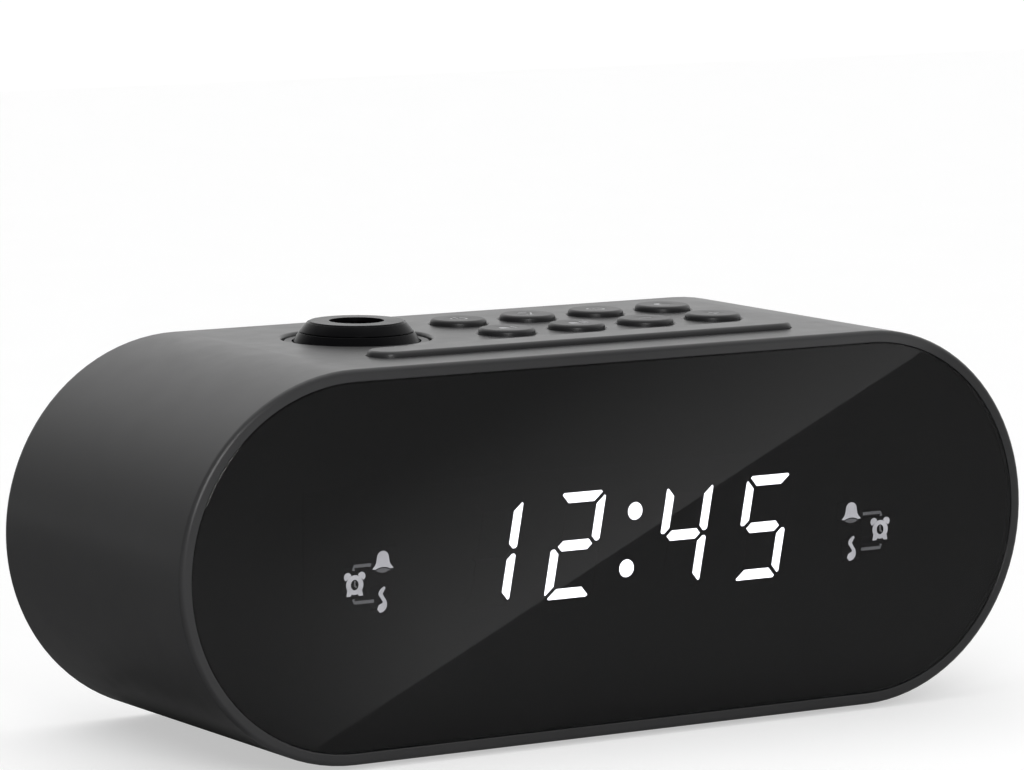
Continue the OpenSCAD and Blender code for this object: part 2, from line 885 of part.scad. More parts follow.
// Black tube between the lamp and the lens cell, with shelves for the condenser and the shutter
module light_tube() {
    color(inner_black) at_ball() difference() {
        rotate_extrude() {
            translate([tube_r - 1, -7.5]) square([1, 10.6]);
            translate([5, -3.2]) square([tube_r - 5.2, 0.8]);
            translate([5.8, 0.2]) square([tube_r - 6, 0.6]);
        }
        block([-7.6, -3.2, 0.9], [-5, 3.2, 2.1]);
    }
}

module condenser_lens() {
    color(clear_glass) at_ball() translate([0, 0, -1.65]) lens_blank(6.1, 1, 0.6);
}

// Small window that draws the time, lit from behind
module shutter_lcd() {
    color(clear_glass) at_ball() difference() {
        block([-4.6, -3.8, 0.85], [4.6, 3.8, 1.95]);
        block([-4.7, -3.9, 1.55], [-3.4, 3.9, 2.1]);
    }
}

module projector_pcb() {
    color(board_green) at_ball() difference() {
        plate(-8.65, -7.6) circle(tube_r - 0.2);
        cylinder(r = 0.9, h = 40, center = true);
    }
}

module projector_led() {
    foot = -7.55;
    color([0.85, 0.16, 0.12]) at_ball() rotate_extrude() {
        translate([0, foot]) square([2.9, 0.8]);
        translate([0, foot]) square([2.5, 1.9]);
        intersection() {
            translate([0, foot + 1.9]) circle(2.5);
            translate([0, foot + 1.9]) square([3, 3]);
        }
    }
}

// Lead from the ball's foot down to its plug, with slack for the ball's turns
module projector_lead() {
    top = ball_z - ball_r - 0.1;
    bottom = jack_z + plug_h - 3;
    slack = 4;
    steps = 16;
    color(trim_black) translate([proj_x, proj_y, 0]) tube(
        [
            for (i = [0:steps])
                [slack * (1 - cos(360 * i / steps)) / 2, 0, top + (bottom - top) * i / steps]
        ],
        1.1, 10, [0, 1, 0]
    );
}

// ---- Base ----

module battery_places() {
    for (row = [0, 1]) translate([0, battery_rows[row], bay_z - 0.4 - cell_d / 2])
        rotate([0, 0, 180 * row]) children();
}

// Tray on the case floor: the battery bay opens downwards and the posts carry the main board
module base_tray() {
    roof_t = 1.4;
    color(inner_black) difference() {
        union() {
            block([-tray_x, tray_y[0], tray_z], [tray_x, tray_y[1], tray_z + tray_t]);
            block(
                [-bay_x - 1.4, bay_y[0] - 1.4, tray_z],
                [bay_x + 1.4, bay_y[1] + 1.4, bay_z + roof_t]
            );
            at_board_posts() plate(tray_z, board_z - 0.05) circle(2.8);
        }
        block([-bay_x, bay_y[0], tray_z - cut], [bay_x, bay_y[1], bay_z]);
        for (x = [-15, 15]) block([x - 3.4, -8, tray_z - cut], [x + 3.4, bay_y[0] + cut, tray_z + 3.1]);
        block([-5.2, bay_y[1] - cut, tray_z - cut], [5.2, bay_y[1] + 4, tray_z + 1]);
        at_board_posts() plate(board_z - 8, board_z + cut) circle(pilot_r);
        for (y = battery_rows) block([bay_x - 0.8, y - 1.8, bay_z - cut], [bay_x, y + 1.8, bay_z + 2]);
    }
}

module at_board_posts() {
    for (x = [main_x[0] + 4, main_x[1] - 4], y = [main_y[0] + 4, main_y[1] - 5])
        translate([x, y, 0]) children();
}

module backup_cells() {
    color([0.75, 0.62, 0.25]) battery_places() rotate([0, 90, 0]) {
        plate(-cell_len / 2, cell_len / 2 - 0.9) circle(d = cell_d);
        plate(cell_len / 2 - 1, cell_len / 2) circle(1.9);
    }
}

// Coil spring behind each cell's flat end, widening towards its plate
module battery_springs() {
    turns = 4;
    steps = 10;
    wire = 0.35;
    near = -cell_len / 2 - 0.1 - wire;
    far = -bay_x + 0.6 + wire;
    count = turns * steps;
    color(steel) battery_places() tube(
        [
            for (i = [0:count])
                let (coil = 2.4 + 1.3 * i / count, turn = 360 * i / steps)
                [near + (far - near) * i / count, coil * cos(turn), coil * sin(turn)]
        ],
        wire, 6, [1, 0, 0]
    );
}

// Plates at the ends of the bay: one bridges the cells, two have tails up to the main board
module battery_contacts() {
    axis_z = bay_z - 0.4 - cell_d / 2;
    color(steel) {
        battery_places() {
            for (side = [0, 1]) mirror([side, 0, 0])
                block([bay_x - 0.5, -4.2, -4.2], [bay_x - 0.1, 4.2, 4.2]);
            translate([cell_len / 2 + 0.1, 0, 0]) rotate([0, 90, 0])
                cylinder(r1 = 1.6, r2 = 2.6, h = bay_x - cell_len / 2 - 0.4);
        }
        block(
            [0.1 - bay_x, battery_rows[0], axis_z - 4.2],
            [0.5 - bay_x, battery_rows[1], axis_z + 4.2]
        );
        for (y = battery_rows)
            block([bay_x - 0.5, y - 1.5, axis_z], [bay_x - 0.1, y + 1.5, board_z - 0.02]);
    }
}

// Door under the bay: it tips on its rounded front edge, two hooks hold that edge in and a
// sprung tongue holds the back edge
module battery_door() {
    skin = 1.8;
    edge = 0.3;
    tip_y = door_y[0] + edge + skin / 2;
    color(case_grey) difference() {
        union() {
            translate([edge - door_x, 0, foot_h + 0.05]) rotate([90, 0, 90])
                linear_extrude(2 * (door_x - edge)) {
                    translate([tip_y, 0]) square([door_y[1] - edge - tip_y, skin]);
                    translate([tip_y, skin / 2]) circle(skin / 2);
                }
            for (x = [-15, 15]) {
                block([x - 2.6, tip_y - 0.7, foot_h + skin - 0.5], [x + 2.6, tip_y + 0.7, floor_z + 1.4]);
                block(
                    [x - 2.6, door_y[0] - 1.9, floor_z + 0.25],
                    [x + 2.6, tip_y + 0.7, floor_z + 1.4]
                );
            }
            for (x = [-20, 20]) block(
                [x - 0.5, bay_y[0] + 1, foot_h + skin - 0.5],
                [x + 0.5, bay_y[1] - 3, foot_h + skin + 0.6]
            );
            block(
                [-4, door_y[1] - 1.8, foot_h + skin - 0.5],
                [4, door_y[1] - edge, floor_z + 0.9]
            );
        }
        for (side = [-1, 1]) block(
            [side * 5 - 0.4, door_y[1] - 9, 0],
            [side * 5 + 0.4, door_y[1], floor_z]
        );
        for (line = [0:4]) block(
            [-3.5, door_y[1] - 8 + 1.4 * line, 0],
            [3.5, door_y[1] - 7.4 + 1.4 * line, foot_h + 0.4]
        );
    }
}

// ---- Boards ----

module main_pcb() {
    color(board_green) plate(board_z, board_z + pcb_t) difference() {
        translate([main_x[0], main_y[0]])
            square([main_x[1] - main_x[0], main_y[1] - main_y[0]]);
        at_board_posts() circle(1.5);
    }
}

module main_pcb_screws() {
    color(steel) at_board_posts()
        translate([0, 0, board_z + pcb_t + 0.05]) pan_screw(pilot_r - 0.02, 7, 2.4);
}

// Flat chip with a row of legs on two sides
module chip(w, d, h, legs) {
    block([-w / 2, -d / 2, 0.3], [w / 2, d / 2, h]);
    pitch = (w - 1) / (legs - 1);
    for (side = [-1, 1], leg = [0:legs - 1])
        translate([(leg - (legs - 1) / 2) * pitch, side * (d / 2 + 0.4), 0])
            block([-0.2, -0.6, 0], [0.2, 0.6, 0.8]);
}

module circuit_chips() {
    top = board_z + pcb_t + 0.02;
    color(trim_black) {
        translate([-18, 0, top]) chip(14, 10, 2, 10);
        translate([6, 2, top]) chip(10, 5, 1.6, 8);
        translate([-16, 20, top]) chip(8, 4, 1.6, 6);
    }
}

module capacitors() {
    top = board_z + pcb_t + 0.02;
    color([0.1, 0.12, 0.22]) {
        for (spot = [[-41, 12, 4, 11], [-40, -1, 3.2, 9], [12, 14, 3.2, 9], [4, 15, 2.5, 7]])
            translate([spot[0], spot[1], top]) rotate_extrude()
                edge_section(spot[2], 0, spot[3], 0, 0.5);
    }
}

// Open-topped plug housings for the two ribbons, the projector and the speaker
module board_connectors() {
    top = board_z + pcb_t + 0.02;
    color([0.9, 0.88, 0.82])
        for (spot = [[-10, plug_y, 18], [10, plug_y, 14], [proj_x - 4, proj_y, 8], [17, 20, 8]])
            translate([spot[0], spot[1], top]) difference() {
                block([0, -2.4, 0], [spot[2], 2.4, plug_h]);
                block([0.7, -1.7, 1], [spot[2] - 0.7, 1.7, plug_h + cut]);
            }
}

// Power inlet: a round socket with its centre pin
module dc_jack() {
    mouth_r = 2.9;
    depth = 9;
    rear = front - 0.7;
    color(trim_black) difference() {
        block(
            [jack_x - jack_w / 2, rear - 14, jack_z + 0.02],
            [jack_x + jack_w / 2, rear, jack_z + jack_h]
        );
        translate([jack_x, rear + cut, jack_z + jack_h / 2]) rotate([90, 0, 0])
            cylinder(r = mouth_r, h = depth + cut);
    }
    color(steel) translate([jack_x, rear - 0.8, jack_z + jack_h / 2]) rotate([90, 0, 0])
        cylinder(r = 1, h = depth);
}

// ---- Speaker ----

// Places a speaker part on its axis, with z = 0 on the mounting plane and z running inwards
module at_speaker() {
    translate([speaker_x, speaker_plane, mid_z]) rotate([90, 0, 0]) children();
}

module speaker_frame() {
    color(steel) at_speaker() difference() {
        union() {
            rotate_extrude() polygon([
                [speaker_r - 3, 0], [speaker_r, 0], [speaker_r, 1], [speaker_r - 2, 1],
                [11, 8], [9.6, 9.2], [0, 9.2], [0, 8.4], [9, 8.4], [10.4, 7.4], [speaker_r - 3, 0.9]
            ]);
            block([-speaker_tab, -3, 4], [-12.6, 3, 7]);
        }
        for (turn = [45:90:315]) rotate(turn) translate([13.6, 0, 2.6]) cylinder(r = 2.6, h = 10);
    }
}

module speaker_magnet() {
    color(steel) at_speaker() {
        rotate_extrude() {
            edge_section(9.2, 9.25, 15, 0, 0.4);
            edge_section(7.6, 14, 16, 0, 0.3);
        }
    }
}

// Paper cone with its dust cap, and the rolled surround that joins it to the frame's rim
module speaker_cone() {
    roll = 15.9;
    roll_z = 0.2;
    inner = [for (turn = [180:-15:0]) [roll, roll_z] + 0.7 * [cos(turn), sin(turn)]];
    outer = [for (turn = [0:15:150]) [roll, roll_z] + 1.1 * [cos(turn), sin(turn)]];
    color(trim_black) at_speaker() rotate_extrude() polygon(concat(
        [[0, 2.9], [3.8, 3.9], [4.4, 5.6], [14.8, 0.2]], inner, outer,
        [[4.6, 6.2], [4, 6.2], [3.4, 4.4], [0, 3.4]]
    ));
}

module speaker_screws() {
    color(steel) at_speaker() at_speaker_bosses() {
        translate([0, 0, 1.55]) pan_screw(0.88, 2.8, 2.2);
        ring(0.95, 3.6, 1.02, 1.5);
    }
}

// Pair of thin wires that rise from their plug and bend across to the speaker's tab
module speaker_leads() {
    plug = [21, 20];
    tab = [speaker_x - speaker_tab, speaker_plane - 5.5];
    bend = 5;
    steps = 6;
    arc = [
        for (i = [0:steps])
            let (turn = 90 * i / steps)
            [bend * (1 - cos(turn)), mid_z - bend * (1 - sin(turn))]
    ];
    path = concat([[0, jack_z + plug_h - 3]], arc, [[norm(tab - plug) - 1, mid_z]]);
    color([0.7, 0.1, 0.1])
        translate([plug.x, plug.y, 0]) rotate(atan2(tab.y - plug.y, tab.x - plug.x))
            for (y = [-1, 1]) tube([for (p = path) [p.x, y, p.y]], 0.6, 8, [0, 1, 0]);
}

case_sleeve();
front_lens();
display_mask();
front_frame();
display_reflector();
lit_segments();
dark_segments();
icon_light_boxes();
display_pcb();
display_screws();
display_ribbon();
top_carrier();
key_pcb();
key_pcb_screws();
key_mat();
key_ribbon();
key_power();
key_projector();
key_memory();
key_sleep();
key_alarm_one();
key_alarm_two();
key_tune_down();
key_tune_up();
snooze_bar();
projector_swivel();
pivot_pins();
ball_upper_shell();
ball_lower_shell();
ball_screws();
focus_ring();
lens_cell();
projection_lens();
light_tube();
condenser_lens();
shutter_lcd();
projector_led();
projector_pcb();
projector_lead();
base_tray();
battery_springs();
battery_contacts();
backup_cells();
battery_door();
main_pcb();
circuit_chips();
capacitors();
board_connectors();
main_pcb_screws();
dc_jack();
rear_cover();
rear_screws();
rubber_feet();
speaker_frame();
speaker_magnet();
speaker_cone();
speaker_screws();
speaker_leads();
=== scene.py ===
# %% [markdown]
# # A projection alarm clock, finish by finish
# The clock is a pill-shaped case of dark matt plastic with a smoked window across its front.
# Every rigid piece is already modelled at its real size, so this lesson gives each one its
# finish, prints the small signs that a solid model leaves out, and sets up a plain studio.
# All lengths are metres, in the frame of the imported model: +X right, +Y back, +Z up.

import json
import math

import bmesh
import bpy
from mathutils import Matrix, Vector


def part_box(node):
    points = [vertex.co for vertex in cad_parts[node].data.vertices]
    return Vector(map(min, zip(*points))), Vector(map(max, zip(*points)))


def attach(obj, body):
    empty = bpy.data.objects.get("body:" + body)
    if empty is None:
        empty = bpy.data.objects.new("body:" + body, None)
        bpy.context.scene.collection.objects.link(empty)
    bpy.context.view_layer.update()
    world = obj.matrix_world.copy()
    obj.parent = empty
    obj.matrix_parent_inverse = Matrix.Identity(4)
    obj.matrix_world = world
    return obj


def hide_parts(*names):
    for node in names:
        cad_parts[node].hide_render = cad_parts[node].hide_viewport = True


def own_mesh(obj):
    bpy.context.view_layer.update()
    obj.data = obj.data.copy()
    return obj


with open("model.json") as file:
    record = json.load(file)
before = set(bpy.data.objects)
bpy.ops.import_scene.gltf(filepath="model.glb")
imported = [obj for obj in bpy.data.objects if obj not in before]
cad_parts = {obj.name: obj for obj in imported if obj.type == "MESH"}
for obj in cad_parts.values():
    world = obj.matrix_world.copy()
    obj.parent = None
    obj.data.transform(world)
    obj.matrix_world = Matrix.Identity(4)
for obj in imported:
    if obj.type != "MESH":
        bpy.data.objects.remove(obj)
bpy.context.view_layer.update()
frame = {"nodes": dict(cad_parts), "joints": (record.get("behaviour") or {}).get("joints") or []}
nodes = frame["nodes"]
MM = 0.001

# %% [markdown]
# ## Camera
# A small object looks right from about a metre with a long lens. The camera stands to the left
# of the clock and a little above it. It could be aimed by eye or at an empty, but a place and
# three angles fix the view completely, so they are named and turned into a matrix.

# %% Camera
CAMERA_PLACE = Vector((-541.7, -857.5, 192.7)) * MM
CAMERA_YAW = math.radians(32.174)
CAMERA_PITCH = math.radians(-7.307)
CAMERA_ROLL = math.radians(0.106)
CAMERA_LENS = 189.54
SENSOR_WIDTH = 36
NEAREST, FARTHEST = 0.05, 50


def camera_axes(yaw, pitch, roll):
    """The camera's right, up and backward directions."""
    flat = math.cos(pitch)
    ahead = Vector((math.sin(yaw) * flat, math.cos(yaw) * flat, math.sin(pitch)))
    level = Vector((math.cos(yaw), -math.sin(yaw), 0))
    above = level.cross(ahead)
    right = level * math.cos(roll) + above * math.sin(roll)
    up = above * math.cos(roll) - level * math.sin(roll)
    return right, up, -ahead


camera_data = bpy.data.cameras.new("camera")
camera_data.lens = CAMERA_LENS
camera_data.sensor_width = SENSOR_WIDTH
camera_data.clip_start = NEAREST
camera_data.clip_end = FARTHEST
camera = bpy.data.objects.new("camera", camera_data)
bpy.context.scene.collection.objects.link(camera)
turn = Matrix(camera_axes(CAMERA_YAW, CAMERA_PITCH, CAMERA_ROLL)).transposed().to_4x4()
camera.matrix_world = Matrix.Translation(CAMERA_PLACE) @ turn
bpy.context.scene.camera = camera
print("camera", round(CAMERA_PLACE.length, 3), "m from the clock's foot")

# %% [markdown]
# ## Building materials from nodes
# Every finish below starts from one Principled shader, which covers plastic, metal, glass and
# glow. Nodes can be joined by hand in the shader editor, but code can be read and repeated.
# One helper starts a material, and the other adds a node and joins its inputs in one line.


# %% Start a material, add a node
def start_material(name, colour, roughness, **sockets):
    """A new material with one Principled shader; sockets are its other constant inputs."""
    material = bpy.data.materials.new(name)
    material.use_nodes = True
    shader = material.node_tree.nodes["Principled BSDF"]
    shader.inputs["Base Color"].default_value = (*colour, 1)
    shader.inputs["Roughness"].default_value = roughness
    for socket, value in sockets.items():
        title = socket.replace("_", " ").title().replace("Ior", "IOR")
        shader.inputs[title].default_value = value
    return material, material.node_tree, shader


def add(tree, kind, inputs=(), **settings):
    """Adds a node; inputs are (socket, value or output) pairs."""
    made = tree.nodes.new("ShaderNode" + kind)
    for name, value in settings.items():
        setattr(made, name, value)
    for socket, value in inputs:
        if isinstance(value, bpy.types.NodeSocket):
            tree.links.new(value, made.inputs[socket])
        else:
            made.inputs[socket].default_value = value
    return made


print("helpers: start_material, add")

# %% [markdown]
# ## Unevenness at its real size
# No real skin has one flat colour or shine. An image could bring the unevenness, but it has to
# be unwrapped, and it blurs close up. Noise in the object's own metres needs no unwrapping, and
# a grain of 0.4 mm really is that size on every piece.

# %% Noise, spread and tint
NOISE_LOW, NOISE_HIGH = 0.3, 0.7


def noise(tree, size_mm, detail=2.0, roughness=0.5):
    """Noise whose lumps are size_mm across, as a value from 0 to 1."""
    place = add(tree, "TexCoord").outputs["Object"]
    made = add(tree, "TexNoise", [("Vector", place), ("Scale", 1 / MM / size_mm),
                                  ("Detail", detail), ("Roughness", roughness)])
    return made.outputs["Fac"]


def spread(tree, value, low, high):
    """Maps a noise value's middle range onto low to high."""
    return add(tree, "MapRange", [("Value", value), ("From Min", NOISE_LOW),
                                  ("From Max", NOISE_HIGH), ("To Min", low),
                                  ("To Max", high)]).outputs["Result"]


def tinted(tree, colour, factor):
    """The colour multiplied by a factor that varies over the surface."""
    mixed = add(tree, "VectorMath", [(0, colour), ("Scale", factor)], operation="SCALE")
    return mixed.outputs["Vector"]


print("noise is read between", NOISE_LOW, "and", NOISE_HIGH)

# %% [markdown]
# ## Matt case plastic
# The case, its rim, the keys and the projector's turntable are dark grey plastic from a
# spark-eroded mould. Its skin is a field of tiny pits, which scatters the light and keeps
# fingerprints from showing. Pits cut into the mesh would take millions of faces, so they are
# bump. Edges are handled more, so they are a little smoother and lighter. They could be painted
# by hand, but the Bevel node finds them: its rounded normal differs from the true one there.

# %% Moulded plastic
EDGE_BEGINS, EDGE_FULL = 0.995, 0.9
EDGE_LIGHTER, EDGE_SMOOTHER = 0.18, 0.1
MOTTLE_MM, MOTTLE = 14, 0.05
PATCH_MM, PATCH = 6, 0.02


def moulded(name, colour, roughness, grain_mm, pit_mm, edge_mm=0.35, **sockets):
    """Plastic from a grained mould, with mottled colour and edges polished by handling."""
    material, tree, shader = start_material(name, colour, roughness, **sockets)
    soft_edge = add(tree, "Bevel", [("Radius", edge_mm * MM)], samples=4).outputs["Normal"]
    true_normal = add(tree, "NewGeometry").outputs["Normal"]
    alike = add(tree, "VectorMath", [(0, soft_edge), (1, true_normal)], operation="DOT_PRODUCT")
    worn = add(tree, "MapRange", [("Value", alike.outputs["Value"]), ("From Min", EDGE_BEGINS),
                                  ("From Max", EDGE_FULL), ("To Min", 0),
                                  ("To Max", 1)]).outputs["Result"]
    lumps = noise(tree, MOTTLE_MM, detail=4, roughness=0.6)
    mottle = spread(tree, lumps, 1 - MOTTLE, 1 + MOTTLE)
    lift = add(tree, "Math", [(0, worn), (1, EDGE_LIGHTER), (2, mottle)], operation="MULTIPLY_ADD")
    tree.links.new(tinted(tree, colour, lift.outputs["Value"]), shader.inputs["Base Color"])
    blots = noise(tree, PATCH_MM, detail=3)
    patches = spread(tree, blots, roughness - PATCH, roughness + PATCH)
    polish = add(tree, "Math", [(0, worn), (1, -EDGE_SMOOTHER), (2, patches)],
                 operation="MULTIPLY_ADD")
    tree.links.new(polish.outputs["Value"], shader.inputs["Roughness"])
    grain = noise(tree, grain_mm, detail=3, roughness=0.6)
    pits = add(tree, "Bump", [("Height", grain), ("Distance", pit_mm * MM), ("Strength", 1.0),
                              ("Normal", soft_edge)])
    tree.links.new(pits.outputs["Normal"], shader.inputs["Normal"])
    return material


print("edges up to", EDGE_LIGHTER, "lighter")

# %% [markdown]
# ## Case and keys
# On the clock the keys are the case's plastic, a little less shiny. Their grey is darker than the
# case's, and the extra darkness is painted shade: it stands in for the shadow on their front walls
# and in the gaps round them. The projector's turntable gets the same darker grey. With one
# material the keys would melt into the top. The snooze bar gets the case's grey. Each material
# goes into the slots that the imported pieces already have, so their meshes stay as they are.

# %% Case and keys
CASE_GREY = (0.033, 0.033, 0.034)
# Darker than the case: painted shade for the keys' front walls and the gaps round them.
KEY_GREY_WITH_PAINTED_SHADE = (0.022, 0.022, 0.023)
UNDER_THE_KEYS = ("key_pcb", "key_pcb_screws", "key_mat", "key_ribbon")


def finish_nodes(material, *names):
    """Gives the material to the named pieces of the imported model."""
    for name in names:
        piece = nodes[name]
        if not piece.material_slots:
            piece.data.materials.append(material)
        for place in piece.material_slots:
            place.material = material


case_plastic = moulded("case_plastic", CASE_GREY, roughness=0.32, grain_mm=0.4, pit_mm=0.010,
                       specular_ior_level=0.35)
# The keys' plastic carries that painted shade in its darker grey.
key_plastic_with_painted_shade = moulded("key_plastic_with_painted_shade", KEY_GREY_WITH_PAINTED_SHADE, roughness=0.38, grain_mm=0.4, pit_mm=0.006,
                      edge_mm=0.2, specular_ior_level=0.35)
keys = [name for name in nodes if name.startswith("key_") and name not in UNDER_THE_KEYS]
finish_nodes(case_plastic, "case_sleeve", "rear_cover", "base_tray", "battery_door", "snooze_bar")
finish_nodes(key_plastic_with_painted_shade, "projector_swivel", *keys)
print("case grey", CASE_GREY, "and", len(keys), "keys in", KEY_GREY_WITH_PAINTED_SHADE)

# %% [markdown]
# ## Black trim
# The ball, its focus ring and the lens barrel are a smoother, blacker plastic, so that stray
# light from the lamp inside dies in them. A plain black would look like a hole, so the same
# moulded finish makes it, with shallower pits and hardly any gloss. The frames inside are not
# meant to be seen, so theirs is plainly dull.

# %% Trim and inner plastic
TRIM_BLACK = (0.004, 0.004, 0.0045)
INNER_BLACK = (0.012, 0.012, 0.013)
trim_plastic = moulded("trim_plastic", TRIM_BLACK, roughness=0.24, grain_mm=0.5, pit_mm=0.004,
                       edge_mm=0.2, specular_ior_level=0.05)
inner_plastic = moulded("inner_plastic", INNER_BLACK, roughness=0.6, grain_mm=0.6, pit_mm=0.01)
finish_nodes(trim_plastic, "ball_upper_shell", "ball_lower_shell", "focus_ring", "lens_cell",
             "dc_jack")
finish_nodes(inner_plastic, "display_reflector", "top_carrier", "speaker_frame", "light_tube")
print("trim", TRIM_BLACK, "inside", INNER_BLACK)

# %% [markdown]
# ## Dead black masks
# The masks behind the window hide everything but the lit bars and signs, so they are printed
# in the blackest ink there is. Any gloss would show through the window as a grey veil, so the
# shader gets none, and only the density of the ink is uneven.

# %% Masks
MASK_BLACK = (0.003, 0.003, 0.003)
INK_LUMP_MM, INK_UNEVEN = 8, 0.15
mask_black, mask_tree, mask_shader = start_material("mask_black", MASK_BLACK, roughness=1.0,
                                                    specular_ior_level=0.0)
ink = spread(mask_tree, noise(mask_tree, INK_LUMP_MM), 1 - INK_UNEVEN, 1 + INK_UNEVEN)
mask_tree.links.new(tinted(mask_tree, MASK_BLACK, ink), mask_shader.inputs["Base Color"])
finish_nodes(mask_black, "front_frame", "display_mask", "icon_light_boxes", "dark_segments")
print("masks", MASK_BLACK)

# %% [markdown]
# ## Smoked window
# The window is one sheet of polished acrylic, dyed so dark that only lit signs show through
# it. It could be mixed from a mirror and a see-through shader, but one Principled shader with
# full transmission bends and mirrors light as acrylic does. Its base colour is the dye, and
# the hard coat on its face halves what it mirrors.

# %% Smoked window
SMOKE = (0.12, 0.12, 0.125)
HARD_COAT = 0.5
ACRYLIC_IOR = 1.49
smoked_lens, _, lens_shader = start_material("smoked_lens", SMOKE, roughness=0.0,
                                             transmission_weight=1.0, ior=ACRYLIC_IOR)
lens_shader.inputs["Specular Tint"].default_value = (HARD_COAT, HARD_COAT, HARD_COAT, 1)
finish_nodes(smoked_lens, "front_lens")
print("smoke passes", SMOKE[0])

# %% [markdown]
# ## Lit bars
# Each digit is seven frosted bars over small white lamps. Real lamps behind real frosting would
# need many light bounces, so the bars glow by themselves. A lit bar is a little brighter over
# its lamp than at its tips, so the glow is mixed with soft noise.

# %% Display bars
FROSTED_WHITE = (0.8, 0.8, 0.8)
GLOW_UNEVEN = 0.15
BAR_WHITE = (0.98, 0.99, 1.0)
BAR_GLOW = 18.0


def glowing(name, colour, strength, lump_mm=5):
    """Frosted plastic lit from behind."""
    material, tree, shader = start_material(name, FROSTED_WHITE, roughness=0.5)
    shader.inputs["Emission Color"].default_value = (*colour, 1)
    glow = spread(tree, noise(tree, lump_mm), strength * (1 - GLOW_UNEVEN),
                  strength * (1 + GLOW_UNEVEN))
    tree.links.new(glow, shader.inputs["Emission Strength"])
    return material


lit_bars = glowing("lit_bars", BAR_WHITE, BAR_GLOW)
finish_nodes(lit_bars, "lit_segments")
print("bars lit at", BAR_GLOW)

# %% [markdown]
# ## Screws, springs and contacts
# Little of the inside shows once the clock is closed, but the battery door opens and the ball
# turns, so each thing inside has its true finish. The screws and contacts are plated steel. A
# plain metal shader looks like chrome, so fine scratches and an uneven shine wear it down.

# %% Plated steel
SHINE_MM, SHINE_UNEVEN = 2.5, 0.08
SCRATCH_MM, SCRATCH_DEEP_MM, SCRATCH_STRENGTH = 0.4, 0.004, 0.6


def plated(name, colour, roughness):
    """Plated metal with fine scratches and a slightly uneven shine."""
    material, tree, shader = start_material(name, colour, roughness, metallic=1.0)
    shine = spread(tree, noise(tree, SHINE_MM, detail=4), roughness - SHINE_UNEVEN,
                   roughness + SHINE_UNEVEN)
    tree.links.new(shine, shader.inputs["Roughness"])
    lines = noise(tree, SCRATCH_MM, detail=5, roughness=0.7)
    scratches = add(tree, "Bump", [("Height", lines), ("Distance", SCRATCH_DEEP_MM * MM),
                                   ("Strength", SCRATCH_STRENGTH)])
    tree.links.new(scratches.outputs["Normal"], shader.inputs["Normal"])
    return material


SCREW_GREY, CONTACT_GREY = (0.55, 0.56, 0.58), (0.66, 0.64, 0.6)
screw_steel = plated("screw_steel", SCREW_GREY, roughness=0.32)
contact_steel = plated("contact_steel", CONTACT_GREY, roughness=0.25)
finish_nodes(screw_steel, "display_screws", "key_pcb_screws", "ball_screws", "main_pcb_screws",
             "rear_screws", "speaker_screws", "pivot_pins", "speaker_magnet")
finish_nodes(contact_steel, "battery_springs", "battery_contacts")
print("steel on screws, pins, springs and contacts")

# %% [markdown]
# ## Rubber, vinyl, paper and nylon
# Feet, wires, plugs, chips and the speaker's cone are quite different stuffs, yet each is one
# even colour under a skin of its own grain and shine. So one helper makes them all, and a
# table gives each its colour, roughness, size and depth of grain in millimetres, and pieces.

# %% Soft skins
TINT_MM, TINT_UNEVEN = 5, 0.12


def soft_skin(name, colour, roughness, grain_mm=0.5, pit_mm=0.012):
    """Rubber, vinyl, paper or nylon: an even colour with a soft, uneven skin."""
    material, tree, shader = start_material(name, colour, roughness)
    clouds = noise(tree, TINT_MM, detail=4)
    shade = spread(tree, clouds, 1 - TINT_UNEVEN, 1 + TINT_UNEVEN)
    tree.links.new(tinted(tree, colour, shade), shader.inputs["Base Color"])
    grain = noise(tree, grain_mm, detail=4, roughness=0.6)
    skin = add(tree, "Bump", [("Height", grain), ("Distance", pit_mm * MM)])
    tree.links.new(skin.outputs["Normal"], shader.inputs["Normal"])
    return material


SOFT_SKINS = {
    "ribbon_film": ((0.45, 0.16, 0.03), 0.25, 0.5, 0.003, ("display_ribbon", "key_ribbon")),
    "rubber": ((0.016, 0.016, 0.017), 0.75, 0.5, 0.012, ("key_mat", "rubber_feet")),
    "wire_cover": ((0.02, 0.02, 0.02), 0.45, 0.5, 0.012, ("projector_lead", "speaker_leads")),
    "chip_epoxy": ((0.012, 0.012, 0.014), 0.5, 0.5, 0.012, ("circuit_chips",)),
    "capacitor_sleeve": ((0.012, 0.018, 0.05), 0.3, 0.5, 0.012, ("capacitors",)),
    "plug_nylon": ((0.75, 0.7, 0.58), 0.45, 0.5, 0.012, ("board_connectors",)),
    "cone_paper": ((0.012, 0.012, 0.012), 0.9, 0.3, 0.03, ("speaker_cone",)),
    "cell_jacket": ((0.05, 0.22, 0.16), 0.28, 0.5, 0.003, ("backup_cells",)),
}
skins = {}
for name, (*finish, names) in SOFT_SKINS.items():
    skins[name] = soft_skin(name, *finish)
    finish_nodes(skins[name], *names)
rubber = skins["rubber"]
print(len(skins), "soft skins:", *skins)

# %% [markdown]
# ## Circuit boards
# A board is green lacquer over copper tracks, which show as paler, raised lanes. Real tracks
# follow a circuit that can't be seen here. A brick pattern stands for them, because its mortar
# is a net of thin lines of even width.

